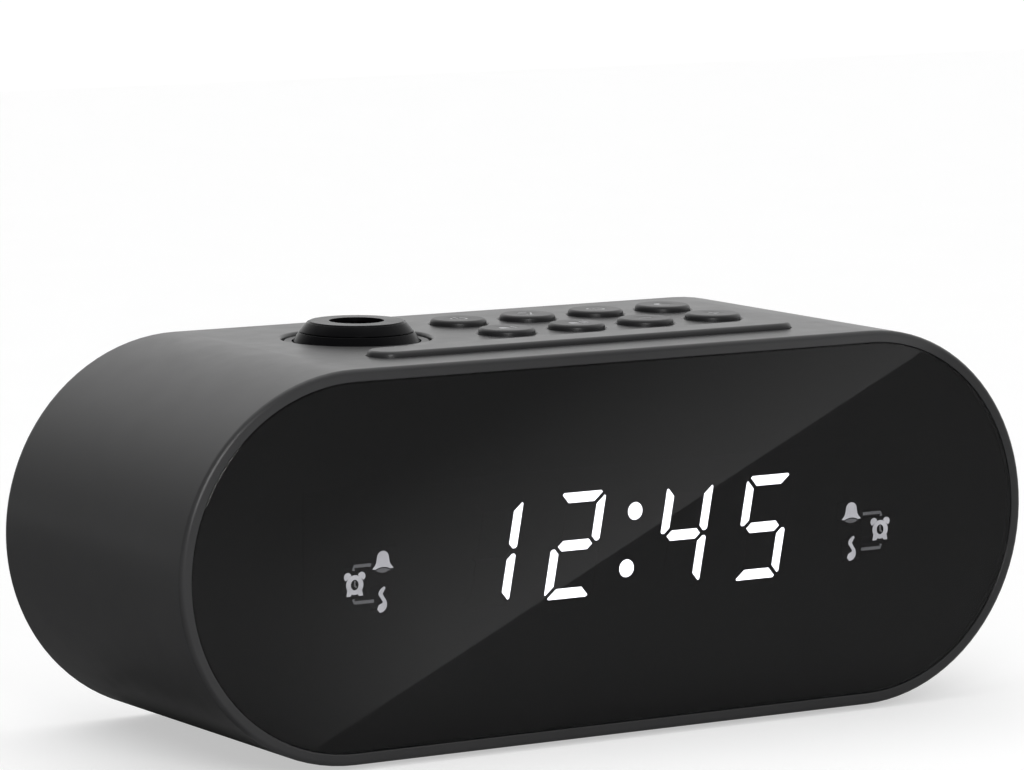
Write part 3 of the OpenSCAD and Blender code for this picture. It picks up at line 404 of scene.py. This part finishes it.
# %% Circuit boards
TRACKS_PER_METRE, TRACK_WIDE, TRACK_HIGH_MM = 160.0, 0.03, 0.03
LACQUER_GREEN, TRACK_GREEN = (0.01, 0.07, 0.03), (0.02, 0.14, 0.06, 1)
LACQUER_DARK, LACQUER_PALE = (0.006, 0.05, 0.022, 1), (0.009, 0.07, 0.03, 1)
board, board_tree, board_shader = start_material("circuit_board", LACQUER_GREEN, roughness=0.3)
board_place = add(board_tree, "TexCoord").outputs["Object"]
lanes = add(board_tree, "TexBrick", [("Vector", board_place), ("Scale", TRACKS_PER_METRE),
                                     ("Mortar Size", TRACK_WIDE), ("Color1", LACQUER_DARK),
                                     ("Color2", LACQUER_PALE), ("Mortar", TRACK_GREEN)])
board_tree.links.new(lanes.outputs["Color"], board_shader.inputs["Base Color"])
raised = add(board_tree, "Bump", [("Height", lanes.outputs["Fac"]),
                                  ("Distance", TRACK_HIGH_MM * MM)])
board_tree.links.new(raised.outputs["Normal"], board_shader.inputs["Normal"])
finish_nodes(board, "display_pcb", "key_pcb", "projector_pcb", "main_pcb")
print("four boards lacquered")

# %% [markdown]
# ## Rubber mat cut into sheet and domes
# Under every key a hollow dome of the rubber mat folds when the key goes down, and pushes it back
# up. The mat is one solid in the model, and a whole mat can't follow nine keys. So copies of its
# mesh are cut just above its sheet: the sheet stays with the case, and each dome becomes a piece
# of its own, also on the case. The copies are welded first, because a cut can only be closed along
# edges that hang together.

# %% A cut that closes itself
SHEET_TOP = 1.02 * MM
DOME_REACH = 4.8 * MM
WELD = 0.001 * MM
mat_low, mat_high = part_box("key_mat")
CUT_HEIGHT = mat_low[2] + SHEET_TOP


def cut_mat(name, keep_above, half_length=None, middle=None):
    """The mat on one side of the cut, near the middle of one key, with the cut closed."""
    work = bmesh.new()
    work.from_mesh(nodes["key_mat"].data)
    bmesh.ops.remove_doubles(work, verts=work.verts[:], dist=WELD)
    everything = work.verts[:] + work.edges[:] + work.faces[:]
    bmesh.ops.bisect_plane(work, geom=everything, dist=WELD, plane_co=(0, 0, CUT_HEIGHT),
                           plane_no=(0, 0, 1), clear_inner=keep_above, clear_outer=not keep_above)
    if middle:
        far = [v for v in work.verts if abs(v.co.x - middle[0]) > half_length
               or abs(v.co.y - middle[1]) > DOME_REACH]
        bmesh.ops.delete(work, geom=far, context="VERTS")
    rim = [edge for edge in work.edges if edge.is_boundary]
    bmesh.ops.triangle_fill(work, edges=rim, use_beauty=True)
    bmesh.ops.recalc_face_normals(work, faces=work.faces[:])
    mesh = bpy.data.meshes.new(name)
    work.to_mesh(mesh)
    open_edges = sum(not edge.is_manifold for edge in work.edges)
    work.free()
    piece = bpy.data.objects.new(name, mesh)
    bpy.context.scene.collection.objects.link(piece)
    piece.data.materials.append(rubber)
    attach(piece, "case")
    return piece, open_edges


# %% [markdown]
# ## Sheet and domes
# A key travels 0.7 mm, so its dome keeps the rest of its height when the key is fully down. A real
# dome buckles inwards. Here the sheet is cut once, and then a dome round the middle of each
# pressed key, each with a mesh of its own.

# %% Sheet and domes
sheet, open_edges = cut_mat("mat_sheet", keep_above=False)
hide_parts("key_mat")
print("mat_sheet open edges", open_edges)
for joint in frame["joints"]:
    if joint["name"].startswith("press_"):
        low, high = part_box(joint["child"])
        centre = [(a + b) / 2 for a, b in zip(low, high)]
        half_length = max(high[0] - low[0], 2 * DOME_REACH) / 2
        dome, open_edges = cut_mat("dome_" + joint["name"], True, half_length, centre)
        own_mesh(dome)
        print(dome.name, len(dome.data.polygons), "faces, open edges", open_edges)

# %% [markdown]
# ## Projector optics
# A red lamp shines up through a clear condenser, a small liquid-crystal shutter with the
# digits, and the projection lens. The beam could be traced through them, but that takes
# caustics and long renders. Instead the lamp and the shutter glow, and the lenses are clear
# acrylic with a red cast, so that from outside the lens is a dark red eye.

# %% Optics
LENS_RED, LAMP_RED = (0.85, 0.35, 0.35), (1.0, 0.03, 0.02)
SHUTTER_DARK, SHUTTER_RED = (0.05, 0.008, 0.008), (1.0, 0.04, 0.03, 1)
LAMP_GLOW, SHUTTER_GLOW = 1.2, 0.6
clear_optics, _, _ = start_material("clear_optics", LENS_RED, roughness=0.02,
                                    transmission_weight=1.0, ior=ACRYLIC_IOR)
red_lamp = glowing("red_lamp", LAMP_RED, LAMP_GLOW)
shutter_glass, _, shutter_shader = start_material("shutter_glass", SHUTTER_DARK, roughness=0.12)
shutter_shader.inputs["Emission Color"].default_value = SHUTTER_RED
shutter_shader.inputs["Emission Strength"].default_value = SHUTTER_GLOW
finish_nodes(clear_optics, "projection_lens", "condenser_lens")
finish_nodes(red_lamp, "projector_led")
finish_nodes(shutter_glass, "shutter_lcd")
left = sorted(name for name, piece in nodes.items()
              if not piece.material_slots or not piece.material_slots[0].material.use_nodes)
print("pieces without a finish:", left)

# %% [markdown]
# ## Small signs behind the window
# On each side of the time there are three small signs joined by a thin bracket: a bell for
# the buzzer, an alarm clock, and a note for the radio. They are thin plates of frosted film over
# the openings of the black mask. A picture of them would blur close up, so each is drawn as a
# closed outline, in millimetres in the front view, that can be filled and given a thickness.
# Two helpers give most outlines: an arc, and a stroke along a path.


# %% Arcs and strokes
def arc(centre, radius, start, end, steps=14, squeeze=1.0):
    """Points along an arc, from start to end in degrees; squeeze narrows it sideways."""
    angles = [math.radians(start + (end - start) * i / steps) for i in range(steps + 1)]
    return [(centre[0] + squeeze * radius * math.cos(a), centre[1] + radius * math.sin(a))
            for a in angles]


def stroke(path, widths):
    """The outline of a brush stroke along a path, with its own width at each point."""
    sides = ([], [])
    for i, (x, z) in enumerate(path):
        before, after = path[max(i - 1, 0)], path[min(i + 1, len(path) - 1)]
        along = Vector((after[0] - before[0], after[1] - before[1])).normalized()
        for side, sign in zip(sides, (1, -1)):
            side.append((x - sign * along.y * widths[i] / 2, z + sign * along.x * widths[i] / 2))
    return sides[0] + sides[1][::-1]


print("an arc has", len(arc((0, 0), 1, 0, 90)), "points unless more are asked for")

# %% [markdown]
# ## A brush for the note
# The tail of the note swells and thins like a brush stroke. A Bezier curve could be bent to it
# by hand. A Catmull-Rom path is simpler to write, because it runs through every point that is
# given, and the width is rounded along with the place.


# %% Rounded brush
def smooth_path(points, steps=6):
    """A rounder path through the points (Catmull-Rom); a point may carry a third number."""
    ends = [points[0], *points, points[-1]]
    path = []
    for a, b, c, d in zip(ends, ends[1:], ends[2:], ends[3:]):
        for i in range(steps):
            t = i / steps
            path.append(tuple(
                0.5 * (2 * q + (r - p) * t + (2 * p - 5 * q + 4 * r - s) * t**2
                       + (3 * q - p - 3 * r + s) * t**3)
                for p, q, r, s in zip(a, b, c, d)))
    return path + [tuple(points[-1])]


def brush(points):
    """A stroke through (x, z, width) points."""
    path = smooth_path(points)
    return stroke([(x, z) for x, z, _ in path], [width for _, _, width in path])


print("a brush of 3 points has", len(brush([(0, 0, 1), (1, 0, 1), (2, 0, 1)])), "outline points")

# %% [markdown]
# ## Shapes of the signs
# Each sign is drawn about its own middle, so that it can be set down on both sides. The bell is
# a dome with flared lips over a dim mouth. The alarm clock is a ring with two bells, two feet
# and a pair of hands. The parts of a sign are separate outlines, as on the printed film.

# %% Shapes of the signs
BELL = [
    arc((0, 0.45), 1.25, 0, 180)
    + [(-1.4, -0.4), (-1.6, -0.85), (-2.25, -1.55)]
    + arc((0, -4.55), 3.3, 118, 62, 10)
    + [(2.25, -1.55), (1.6, -0.85), (1.4, -0.4)]
]
BELL_MOUTH = [arc((0, -4.75), 3.3, 118, 62, 10) + arc((0, 0.15), 2.45, -50, -130, 10)]
ALARM_RING = [arc((0, -0.15), 1.8, 0, 350, 35), arc((0, -0.15), 0.95, 0, 350, 35, squeeze=0.85)]
ALARM_BELLS = [
    arc((-1.45, 1.35), 0.8, 20, 240, 12),
    arc((1.45, 1.35), 0.8, -60, 160, 12),
]
ALARM_FEET = [
    [(-1.5, -1.0), (-0.5, -1.6), (-0.85, -2.2), (-1.75, -2.2)],
    [(1.5, -1.0), (1.75, -2.2), (0.85, -2.2), (0.5, -1.6)],
]
ALARM_HANDS = [
    [(-0.16, 0.6), (0.16, 0.6), (0.16, -0.2), (0.5, -0.5), (0.32, -0.75), (-0.16, -0.4)],
]
NOTE = [brush([
    (0.6, 2.2, 0.4), (0.05, 1.65, 0.8), (-0.3, 1.05, 0.85), (0.1, 0.3, 0.7),
    (0.55, -0.5, 0.8), (0.35, -1.2, 1.35), (-0.25, -1.7, 1.5), (-0.75, -2.1, 0.8),
])]
print("bell outline has", len(BELL[0]), "points")

# %% [markdown]
# ## From outline to thin plate
# An outline with holes is hard to fill by hand, but a flat curve object fills it by itself,
# with inner rings as holes, and its extrusion gives the thickness. The curve is then turned
# into a plain mesh, which is what rides on the clock.


# %% Thin plates
def thin_plate(name, rings, thick_mm):
    """A flat plate with the rings as its outlines; inner rings become holes."""
    curve = bpy.data.curves.new(name, "CURVE")
    curve.dimensions = "2D"
    curve.fill_mode = "BOTH"
    curve.extrude = thick_mm * MM / 2
    for ring in rings:
        spline = curve.splines.new("POLY")
        spline.points.add(len(ring) - 1)
        for point, (x, z) in zip(spline.points, ring):
            point.co = (x * MM, z * MM, 0, 1)
        spline.use_cyclic_u = True
    source = bpy.data.objects.new(name + "_curve", curve)
    bpy.context.scene.collection.objects.link(source)
    bpy.context.view_layer.update()
    mesh = bpy.data.meshes.new_from_object(source)
    bpy.data.objects.remove(source)
    piece = bpy.data.objects.new(name, mesh)
    bpy.context.scene.collection.objects.link(piece)
    return piece


def finish_piece(piece, material, body):
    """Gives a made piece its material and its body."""
    piece.data.materials.clear()
    piece.data.materials.append(material)
    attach(piece, body)
    return piece


print("helpers: thin_plate, finish_piece")

# %% [markdown]
# ## Film against the window
# The film lies flat against the back of the window, 2 mm behind its face. Its grey is the glow
# of a weak lamp, so it is made as the lit bars are, only dimmer. The outlines are drawn lying
# down, so a quarter turn about X stands each plate up in the front view.

# %% Film
SIGN_PLANE = -32.375
SIGN_THICK = 0.03
MID_Z = 37.0
FILM_WHITE = (0.98, 0.98, 1.0)
SIGN_GLOW, DIM_GLOW = 3.4, 0.8
QUARTER_TURN = Matrix.Rotation(math.radians(90), 4, "X")
sign_grey = glowing("sign_grey", FILM_WHITE, SIGN_GLOW, lump_mm=3)
sign_dim = glowing("sign_dim", FILM_WHITE, DIM_GLOW, lump_mm=3)


def front_sign(name, rings, material, deeper=0.0):
    """A sign in the front view, between the window and the mask."""
    piece = thin_plate(name, rings, SIGN_THICK)
    place = Matrix.Translation((0, (SIGN_PLANE + deeper) * MM, MID_Z * MM))
    piece.matrix_world = place @ QUARTER_TURN
    return finish_piece(piece, material, "case")


print("film glows at", SIGN_GLOW, "and", DIM_GLOW)

# %% [markdown]
# ## Setting the signs down
# Both sides carry the same three signs at their own places, so one loop sets them all. Where
# parts of a sign overlap, such as the ring and its bells, one lies a sheet behind the other,
# because two faces in one place come out blotchy.

# %% Place the signs
BEHIND = SIGN_THICK


def shifted(rings, x, z, scale=1.0):
    """The same rings moved and scaled."""
    return [[(x + scale * a, z + scale * b) for a, b in ring] for ring in rings]


LEFT_SIGNS = {"bell": (-50.5, 0.85), "alarm": (-56.4, -3.05), "note": (-50.7, -6.3)}
RIGHT_SIGNS = {"bell": (53.2, 1.55), "alarm": (60.0, -2.35), "note": (53.3, -5.6)}
for side, places in (("left", LEFT_SIGNS), ("right", RIGHT_SIGNS)):
    bell, alarm, note = places["bell"], places["alarm"], places["note"]
    front_sign(side + "_bell_sign", shifted(BELL, *bell), sign_grey)
    front_sign(side + "_bell_mouth", shifted(BELL_MOUTH, *bell), sign_dim, BEHIND)
    front_sign(side + "_alarm_ring", shifted(ALARM_RING, *alarm), sign_grey)
    front_sign(side + "_alarm_bells", shifted(ALARM_BELLS, *alarm), sign_grey, BEHIND)
    front_sign(side + "_alarm_feet", shifted(ALARM_FEET, *alarm), sign_grey, BEHIND)
    front_sign(side + "_alarm_hands", shifted(ALARM_HANDS, *alarm), sign_dim)
    front_sign(side + "_note_sign", shifted(NOTE, *note), sign_grey)
print("signs at", LEFT_SIGNS, "and", RIGHT_SIGNS)

# %% [markdown]
# ## Brackets
# A thin bracket ties the bell and the note to the alarm clock, to say that both belong to it.
# It could be cut from straight bars, but they would leave steps at the bends. So it is one
# stroke of even width along a short bent path, in the dimmer glow.

# %% Brackets
BRACKET_WIDE = 0.6
BRACKETS = {
    "left": [[(-53.0, 0.2), (-56.5, 0.2), (-56.7, -0.6)],
             [(-56.7, -5.8), (-56.5, -6.45), (-52.4, -6.45)]],
    "right": [[(55.9, 0.8), (60.0, 0.8), (60.2, 0.1)],
              [(55.6, -6.0), (60.0, -6.0), (60.2, -5.3)]],
}
for side, paths in BRACKETS.items():
    outlines = [stroke(path, [BRACKET_WIDE] * len(path)) for path in paths]
    front_sign(side + "_bracket_sign", outlines, sign_dim)
print("brackets", BRACKET_WIDE, "mm wide")

# %% [markdown]
# ## Symbols on the keys
# Each key has a small printed symbol in pale ink: power, projector beam, time, sleep, the two
# alarms, down and up. They could be a texture on the keys, but as outlines they stay sharp and
# go along with the model. Most of them are lines of one width, as a printing pad leaves them.

# %% Key symbols
INK_WIDE = 0.34
HAND_UP, HAND_OUT = (0, 1.0), (0.75, -0.35)


def line(*path):
    """A printed line of even width through the points."""
    return stroke(list(path), [INK_WIDE] * len(path))


KEY_SYMBOLS = {
    "key_power": [line(*arc((0, -0.15), 1.5, 125, 415, 30)), line((0, 0.3), (0, 1.95))],
    "key_projector": [line((-0.35, -0.8), (-1.5, 1.3)), line((0.35, -0.8), (1.5, 1.3)),
                      line((-0.9, 1.85), (0.9, 1.85)), arc((0, -1.5), 0.42, 0, 350, 20)],
    "key_memory": [arc((0, 0), 1.85, 0, 350, 35), arc((0, 0), 1.5, 0, 350, 35),
                   line(HAND_UP, (0, 0), HAND_OUT)],
    "key_sleep": [arc((0, 0), 1.7, 60, 300, 30) + arc((0.85, 0), 1.472, 270, 90, 24)],
    "key_alarm_one": shifted(BELL, -0.6, 0, 0.7) + [line((1.5, -1.05), (1.5, 1.2))],
    "key_alarm_two": shifted(BELL, -0.6, 0, 0.7) + [line((1.3, -1.05), (1.3, 1.2)),
                                                    line((2.0, -1.05), (2.0, 1.2))],
    "key_tune_down": [line((-1.4, 0), (1.4, 0))],
    "key_tune_up": [line((-1.4, 0), (-0.2, 0)), line((0.2, 0), (1.4, 0)),
                    line((0, -1.4), (0, 1.4))],
}
print("symbols for", *KEY_SYMBOLS)

# %% [markdown]
# ## Printing into the thumb dish
# The ink lies in the shallow thumb dish of the key, which is a piece of a large ball. A
# Shrinkwrap modifier could press the print onto it. The ball's height at each point's radius
# is a short sum, so every point is simply lowered by it.

# %% Print the symbols
DISH_BALL = 25.0
DISH_DEPTH = 0.13
INK_LIFT = 0.015
INK_GREY = (0.42, 0.42, 0.43)
key_ink = soft_skin("key_ink", INK_GREY, roughness=0.5, grain_mm=0.2, pit_mm=0.002)


def dish_drop(x, y):
    """How far the thumb dish lies below the key's flat rim, in millimetres."""
    radius_squared = x * x + y * y
    return max(0.0, math.sqrt(DISH_BALL**2 - radius_squared) - DISH_BALL + DISH_DEPTH)


for key, rings in KEY_SYMBOLS.items():
    lowest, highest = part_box(key)
    middle = [(a + b) / 2 for a, b in zip(lowest, highest)]
    symbol = thin_plate(key + "_symbol", rings, INK_LIFT)
    for point in symbol.data.vertices:
        point.co.z += (INK_LIFT - dish_drop(point.co.x / MM, point.co.y / MM)) * MM
    symbol.matrix_world = Matrix.Translation((middle[0], middle[1], highest[2]))
    finish_piece(symbol, key_ink, key)
print(len(KEY_SYMBOLS), "symbols printed, lowest point", round(dish_drop(0, 0), 3), "mm down")

# %% [markdown]
# ## Cards for the stage
# A black clock with a black window shows mostly what it mirrors, so the studio decides how it
# looks. It is built from flat cards: a table, cloths and a glowing strip. A primitive plane would
# need scaling and applying, so a card is made straight from its corners.


# %% Stage cards
def rectangle(west, south, east, north, height=0):
    """The four corners of a level rectangle, anticlockwise from above."""
    return [(west, south, height), (east, south, height),
            (east, north, height), (west, north, height)]


def stage_plane(name, corners, material):
    """A flat stage card through the given corners."""
    mesh = bpy.data.meshes.new(name)
    mesh.from_pydata([Vector(corner) for corner in corners], [], [tuple(range(len(corners)))])
    mesh.materials.append(material)
    piece = bpy.data.objects.new(name, mesh)
    bpy.context.scene.collection.objects.link(piece)
    return piece


print("helpers: rectangle, stage_plane")

# %% [markdown]
# ## White for some rays only
# The background should be white, but white paint and a bright world would throw too much light
# at the clock. Light Path tells which kind of ray is looking. Three kinds are shown white: the
# camera's own, mirrored ones, and those through glass. All others see the true, softer light.

# %% Rays that see white
WHITE_TO = ["Camera Ray", "Glossy Ray", "Transmission Ray"]


def seen_by(tree, rays):
    """1 for rays of the named kinds and 0 for all others."""
    path = add(tree, "LightPath")
    total = path.outputs["Is " + rays[0]]
    for ray in rays[1:]:
        total = add(tree, "Math", [(0, total), (1, path.outputs["Is " + ray])],
                    operation="ADD", use_clamp=True).outputs["Value"]
    return total


print("white to", WHITE_TO)

# %% [markdown]
# ## Table
# The clock stands on a pale, matt board with the least unevenness of paint. It could be one
# emitter, but then it would take no shadow. So it is a middle grey, and half its white is glow
# that only those three rays see, while the clock's shadow darkens the other half.

# %% Table
TABLE = 4.0
TABLE_GREY, TABLE_GLOW = 0.5, 0.5
MATT = 0.9
PALE_LUMP_MM, PALE_UNEVEN = 30, 0.01
grey = (TABLE_GREY,) * 3
table_material, table_tree, table_shader = start_material("studio_table", grey, MATT)
speckle = spread(table_tree, noise(table_tree, PALE_LUMP_MM), 1 - PALE_UNEVEN, 1 + PALE_UNEVEN)
table_tree.links.new(tinted(table_tree, grey, speckle), table_shader.inputs["Base Color"])
brighter = add(table_tree, "Math", [(0, seen_by(table_tree, WHITE_TO)), (1, TABLE_GLOW)],
               operation="MULTIPLY")
table_shader.inputs["Emission Color"].default_value = (1, 1, 1, 1)
table_tree.links.new(brighter.outputs["Value"], table_shader.inputs["Emission Strength"])
stage_plane("floor", rectangle(-TABLE, -TABLE, TABLE, TABLE), table_material)
print("table", 2 * TABLE, "m across")

# %% [markdown]
# ## A room with its light behind
# The soft light comes from behind and above, which brightens the top at a grazing angle, and
# is weaker in front, which keeps the window dark. Several large lamps could do it. A world
# whose strength follows the ray's direction does it without one hard edge, and the three kinds
# of ray see it plain white.

# %% Room
BACKDROP = Vector((0.8, 0.6, 0.7))
DIM_UP_TO, FULL_FROM = 0.15, 0.9
ROOM_FRONT, ROOM_BACK = 0.2, 1.25
PLAIN_WHITE = 1.0


def towards_light(tree, direction, low, high):
    """Rises from low, in front of the clock, to high, behind and above it."""
    along = add(tree, "VectorMath", [(0, direction), (1, BACKDROP)], operation="DOT_PRODUCT")
    return add(tree, "MapRange", [("Value", along.outputs["Value"]), ("From Min", DIM_UP_TO),
                                  ("From Max", FULL_FROM), ("To Min", low), ("To Max", high)],
               interpolation_type="SMOOTHSTEP").outputs["Result"]


world = bpy.data.worlds.new("studio")
bpy.context.scene.world = world
world.use_nodes = True
world_tree = world.node_tree
background = world_tree.nodes["Background"]
ray_direction = add(world_tree, "TexCoord").outputs["Generated"]
room = towards_light(world_tree, ray_direction, ROOM_FRONT, ROOM_BACK)
strength = add(world_tree, "Mix", [("Factor", seen_by(world_tree, WHITE_TO)), ("A", room),
                                   ("B", PLAIN_WHITE)])
world_tree.links.new(strength.outputs["Result"], background.inputs["Strength"])
background.inputs["Color"].default_value = (1, 1, 1, 1)
bpy.context.scene.view_settings.view_transform = "Standard"
print("room from", ROOM_FRONT, "in front to", ROOM_BACK, "at the back")

# %% [markdown]
# ## Two lamps
# The room alone leaves hardly a shadow to stand on, so a wide, weak lamp overhead lays a soft
# one round the clock. It is a sun, because a sun lights near and far alike. A small disk hangs
# in front of the clock's left half and lifts it a little. Rays through glass don't see the
# disk, because it would leave a smudge in the window.

# %% Lamps
OVERHEAD_DOWN = Vector((0.25, -0.1, -1))
OVERHEAD_POWER, OVERHEAD_WIDE = 0.8, math.radians(70)
FILL_PLACE = Vector((-150, -285, 150)) * MM
FILL_TARGET = Vector((-60, -35, 37)) * MM
FILL_POWER, FILL_SIZE = 0.4, 0.12


def hang(name, lamp, direction):
    """A lamp object that shines in the given direction."""
    hung = bpy.data.objects.new(name, lamp)
    hung.rotation_euler = direction.to_track_quat("-Z", "Y").to_euler()
    bpy.context.scene.collection.objects.link(hung)
    return hung


sun = bpy.data.lights.new("overhead", "SUN")
sun.energy = OVERHEAD_POWER
sun.angle = OVERHEAD_WIDE
hang("overhead", sun, OVERHEAD_DOWN)
fill = bpy.data.lights.new("front_fill", "AREA")
fill.shape = "DISK"
fill.size = FILL_SIZE
fill.energy = FILL_POWER
front_fill = hang("front_fill", fill, FILL_TARGET - FILL_PLACE)
front_fill.location = FILL_PLACE
front_fill.visible_transmission = False
print("lamps", sun.energy, fill.energy)

# %% [markdown]
# ## Cloths on the table
# A studio lays cloths around a glossy dark product, so that its lower half doesn't mirror the
# white table. A grey one lies all round the clock, with darker ones left of and behind it.
# Darkening the table itself would also darken the background. So mirrored rays alone see the
# cloths, and the table stays white and keeps the clock's shadow. Each cloth has a shade, a
# height above the table and two opposite corners, in millimetres.

# %% Cloths
CLOTHS = {
    "grey_cloth": (0.5, 0.25, (-1500, -1500), (1500, 1500)),
    "left_cloth": (0.12, 0.5, (-620, -180), (-80, 900)),
    "back_cloth": (0.12, 0.5, (-80, 28), (20, 500)),
}


def reflections_only(piece):
    """Hides a stage card from everything but mirrored rays."""
    piece.visible_camera = piece.visible_diffuse = False
    piece.visible_transmission = piece.visible_shadow = False


for name, (shade, height_mm, (west, south), (east, north)) in CLOTHS.items():
    cloth_material, _, _ = start_material(name, (shade,) * 3, MATT)
    corners = rectangle(west, south, east, north, height_mm)
    cloth = stage_plane(name, [Vector(corner) * MM for corner in corners], cloth_material)
    reflections_only(cloth)
    print(name, east - west, "by", north - south, "mm")

# %% [markdown]
# ## A gauze tent, dense in front
# The window and the front rim mirror the room in front of them, and a white room would turn
# them grey. So a round tent of gauze stands about the clock, again for mirrored rays alone.
# It is dense and dim in front and thins out to nothing behind, where the white room shows
# through it. Black flags would do the same with hard edges, which the rim would draw as lines.
# The place of a point on the tent's ball gives the direction, as it is centred.

# %% Gauze tent
TENT_RADIUS = 2.5
TENT_DIM = 0.2
tent_mesh = bpy.data.meshes.new("gauze_tent")
ball = bmesh.new()
bmesh.ops.create_icosphere(ball, subdivisions=4, radius=TENT_RADIUS)
ball.to_mesh(tent_mesh)
ball.free()
tent = bpy.data.objects.new("gauze_tent", tent_mesh)
bpy.context.scene.collection.objects.link(tent)


def bare_material(name):
    """A new material with only its output node, and its node tree."""
    material = bpy.data.materials.new(name)
    material.use_nodes = True
    tree = material.node_tree
    tree.nodes.remove(tree.nodes["Principled BSDF"])
    return material, tree


gauze, tent_tree = bare_material("gauze")
spot = add(tent_tree, "TexCoord").outputs["Object"]
outwards = add(tent_tree, "VectorMath", [(0, spot), ("Scale", 1 / TENT_RADIUS)], operation="SCALE")
thin = towards_light(tent_tree, outwards.outputs["Vector"], 0, 1)
dim = add(tent_tree, "Emission", [("Strength", TENT_DIM)])
hole = add(tent_tree, "BsdfTransparent")
weave = add(tent_tree, "MixShader", [(0, thin), (1, dim.outputs["Emission"]),
                                     (2, hole.outputs["BSDF"])])
tent_tree.links.new(weave.outputs["Shader"], tent_tree.nodes["Material Output"].inputs["Surface"])
tent_mesh.materials.append(gauze)
reflections_only(tent)
print("tent", 2 * TENT_RADIUS, "m across")

# %% [markdown]
# ## A glow that fades
# A window of black acrylic looks like a hole until something is mirrored in it, so a strip of
# soft light is made for it. It could be a lamp, but a card's glow can be shaped. It is full at
# the card's lower edge and fades to nothing at the upper one, and it rises slowly along the
# card's length. Where it doesn't glow, the card is clear.

# %% Glow of the soft card
CARD_FADE = 36.5 * MM
CARD_ENDS = (95 * MM, 135 * MM)
CARD_GLOW = 0.86
card_material, card_tree = bare_material("soft_card")
on_card = add(card_tree, "SeparateXYZ", [(0, add(card_tree, "TexCoord").outputs["Object"])])
across = add(card_tree, "MapRange", [("Value", on_card.outputs["Y"]), ("From Max", CARD_FADE),
                                     ("To Min", CARD_GLOW), ("To Max", 0)])
lengthwise = add(card_tree, "MapRange", [("Value", on_card.outputs["X"]),
                                         ("From Min", CARD_ENDS[0]), ("From Max", CARD_ENDS[1])])
fade = add(card_tree, "Math", [(0, across.outputs["Result"]), (1, lengthwise.outputs["Result"])],
           operation="MULTIPLY")
glow = add(card_tree, "Emission", [("Strength", fade.outputs["Value"])])
clear = add(card_tree, "BsdfTransparent")
both = add(card_tree, "AddShader", [(0, glow.outputs["Emission"]), (1, clear.outputs["BSDF"])])
card_tree.links.new(both.outputs["Shader"], card_tree.nodes["Material Output"].inputs["Surface"])
print("glow", CARD_GLOW, "at the lower edge")

# %% [markdown]
# ## The sheen across the window
# The card hangs just in front of the window, seen by reflections only. It could be turned until
# it looks right. Its lower edge draws the crisp diagonal line across the window, so it is hung
# by the two ends of that edge, and the turn follows from them.

# %% Hang the soft card
EDGE_START = Vector((-152.0, -46.0, -41.8)) * MM
EDGE_END = Vector((86.0, -46.0, 70.7)) * MM
TO_THE_BACK = Vector((0, 1, 0))
edge = EDGE_END - EDGE_START
along = edge.normalized()
card_turn = Matrix((along, along.cross(TO_THE_BACK), TO_THE_BACK)).transposed().to_4x4()
card = stage_plane("soft_card", rectangle(0, 0, edge.length, CARD_FADE), card_material)
card.matrix_world = Matrix.Translation(EDGE_START) @ card_turn
reflections_only(card)
print("card", round(edge.length / MM), "mm long")
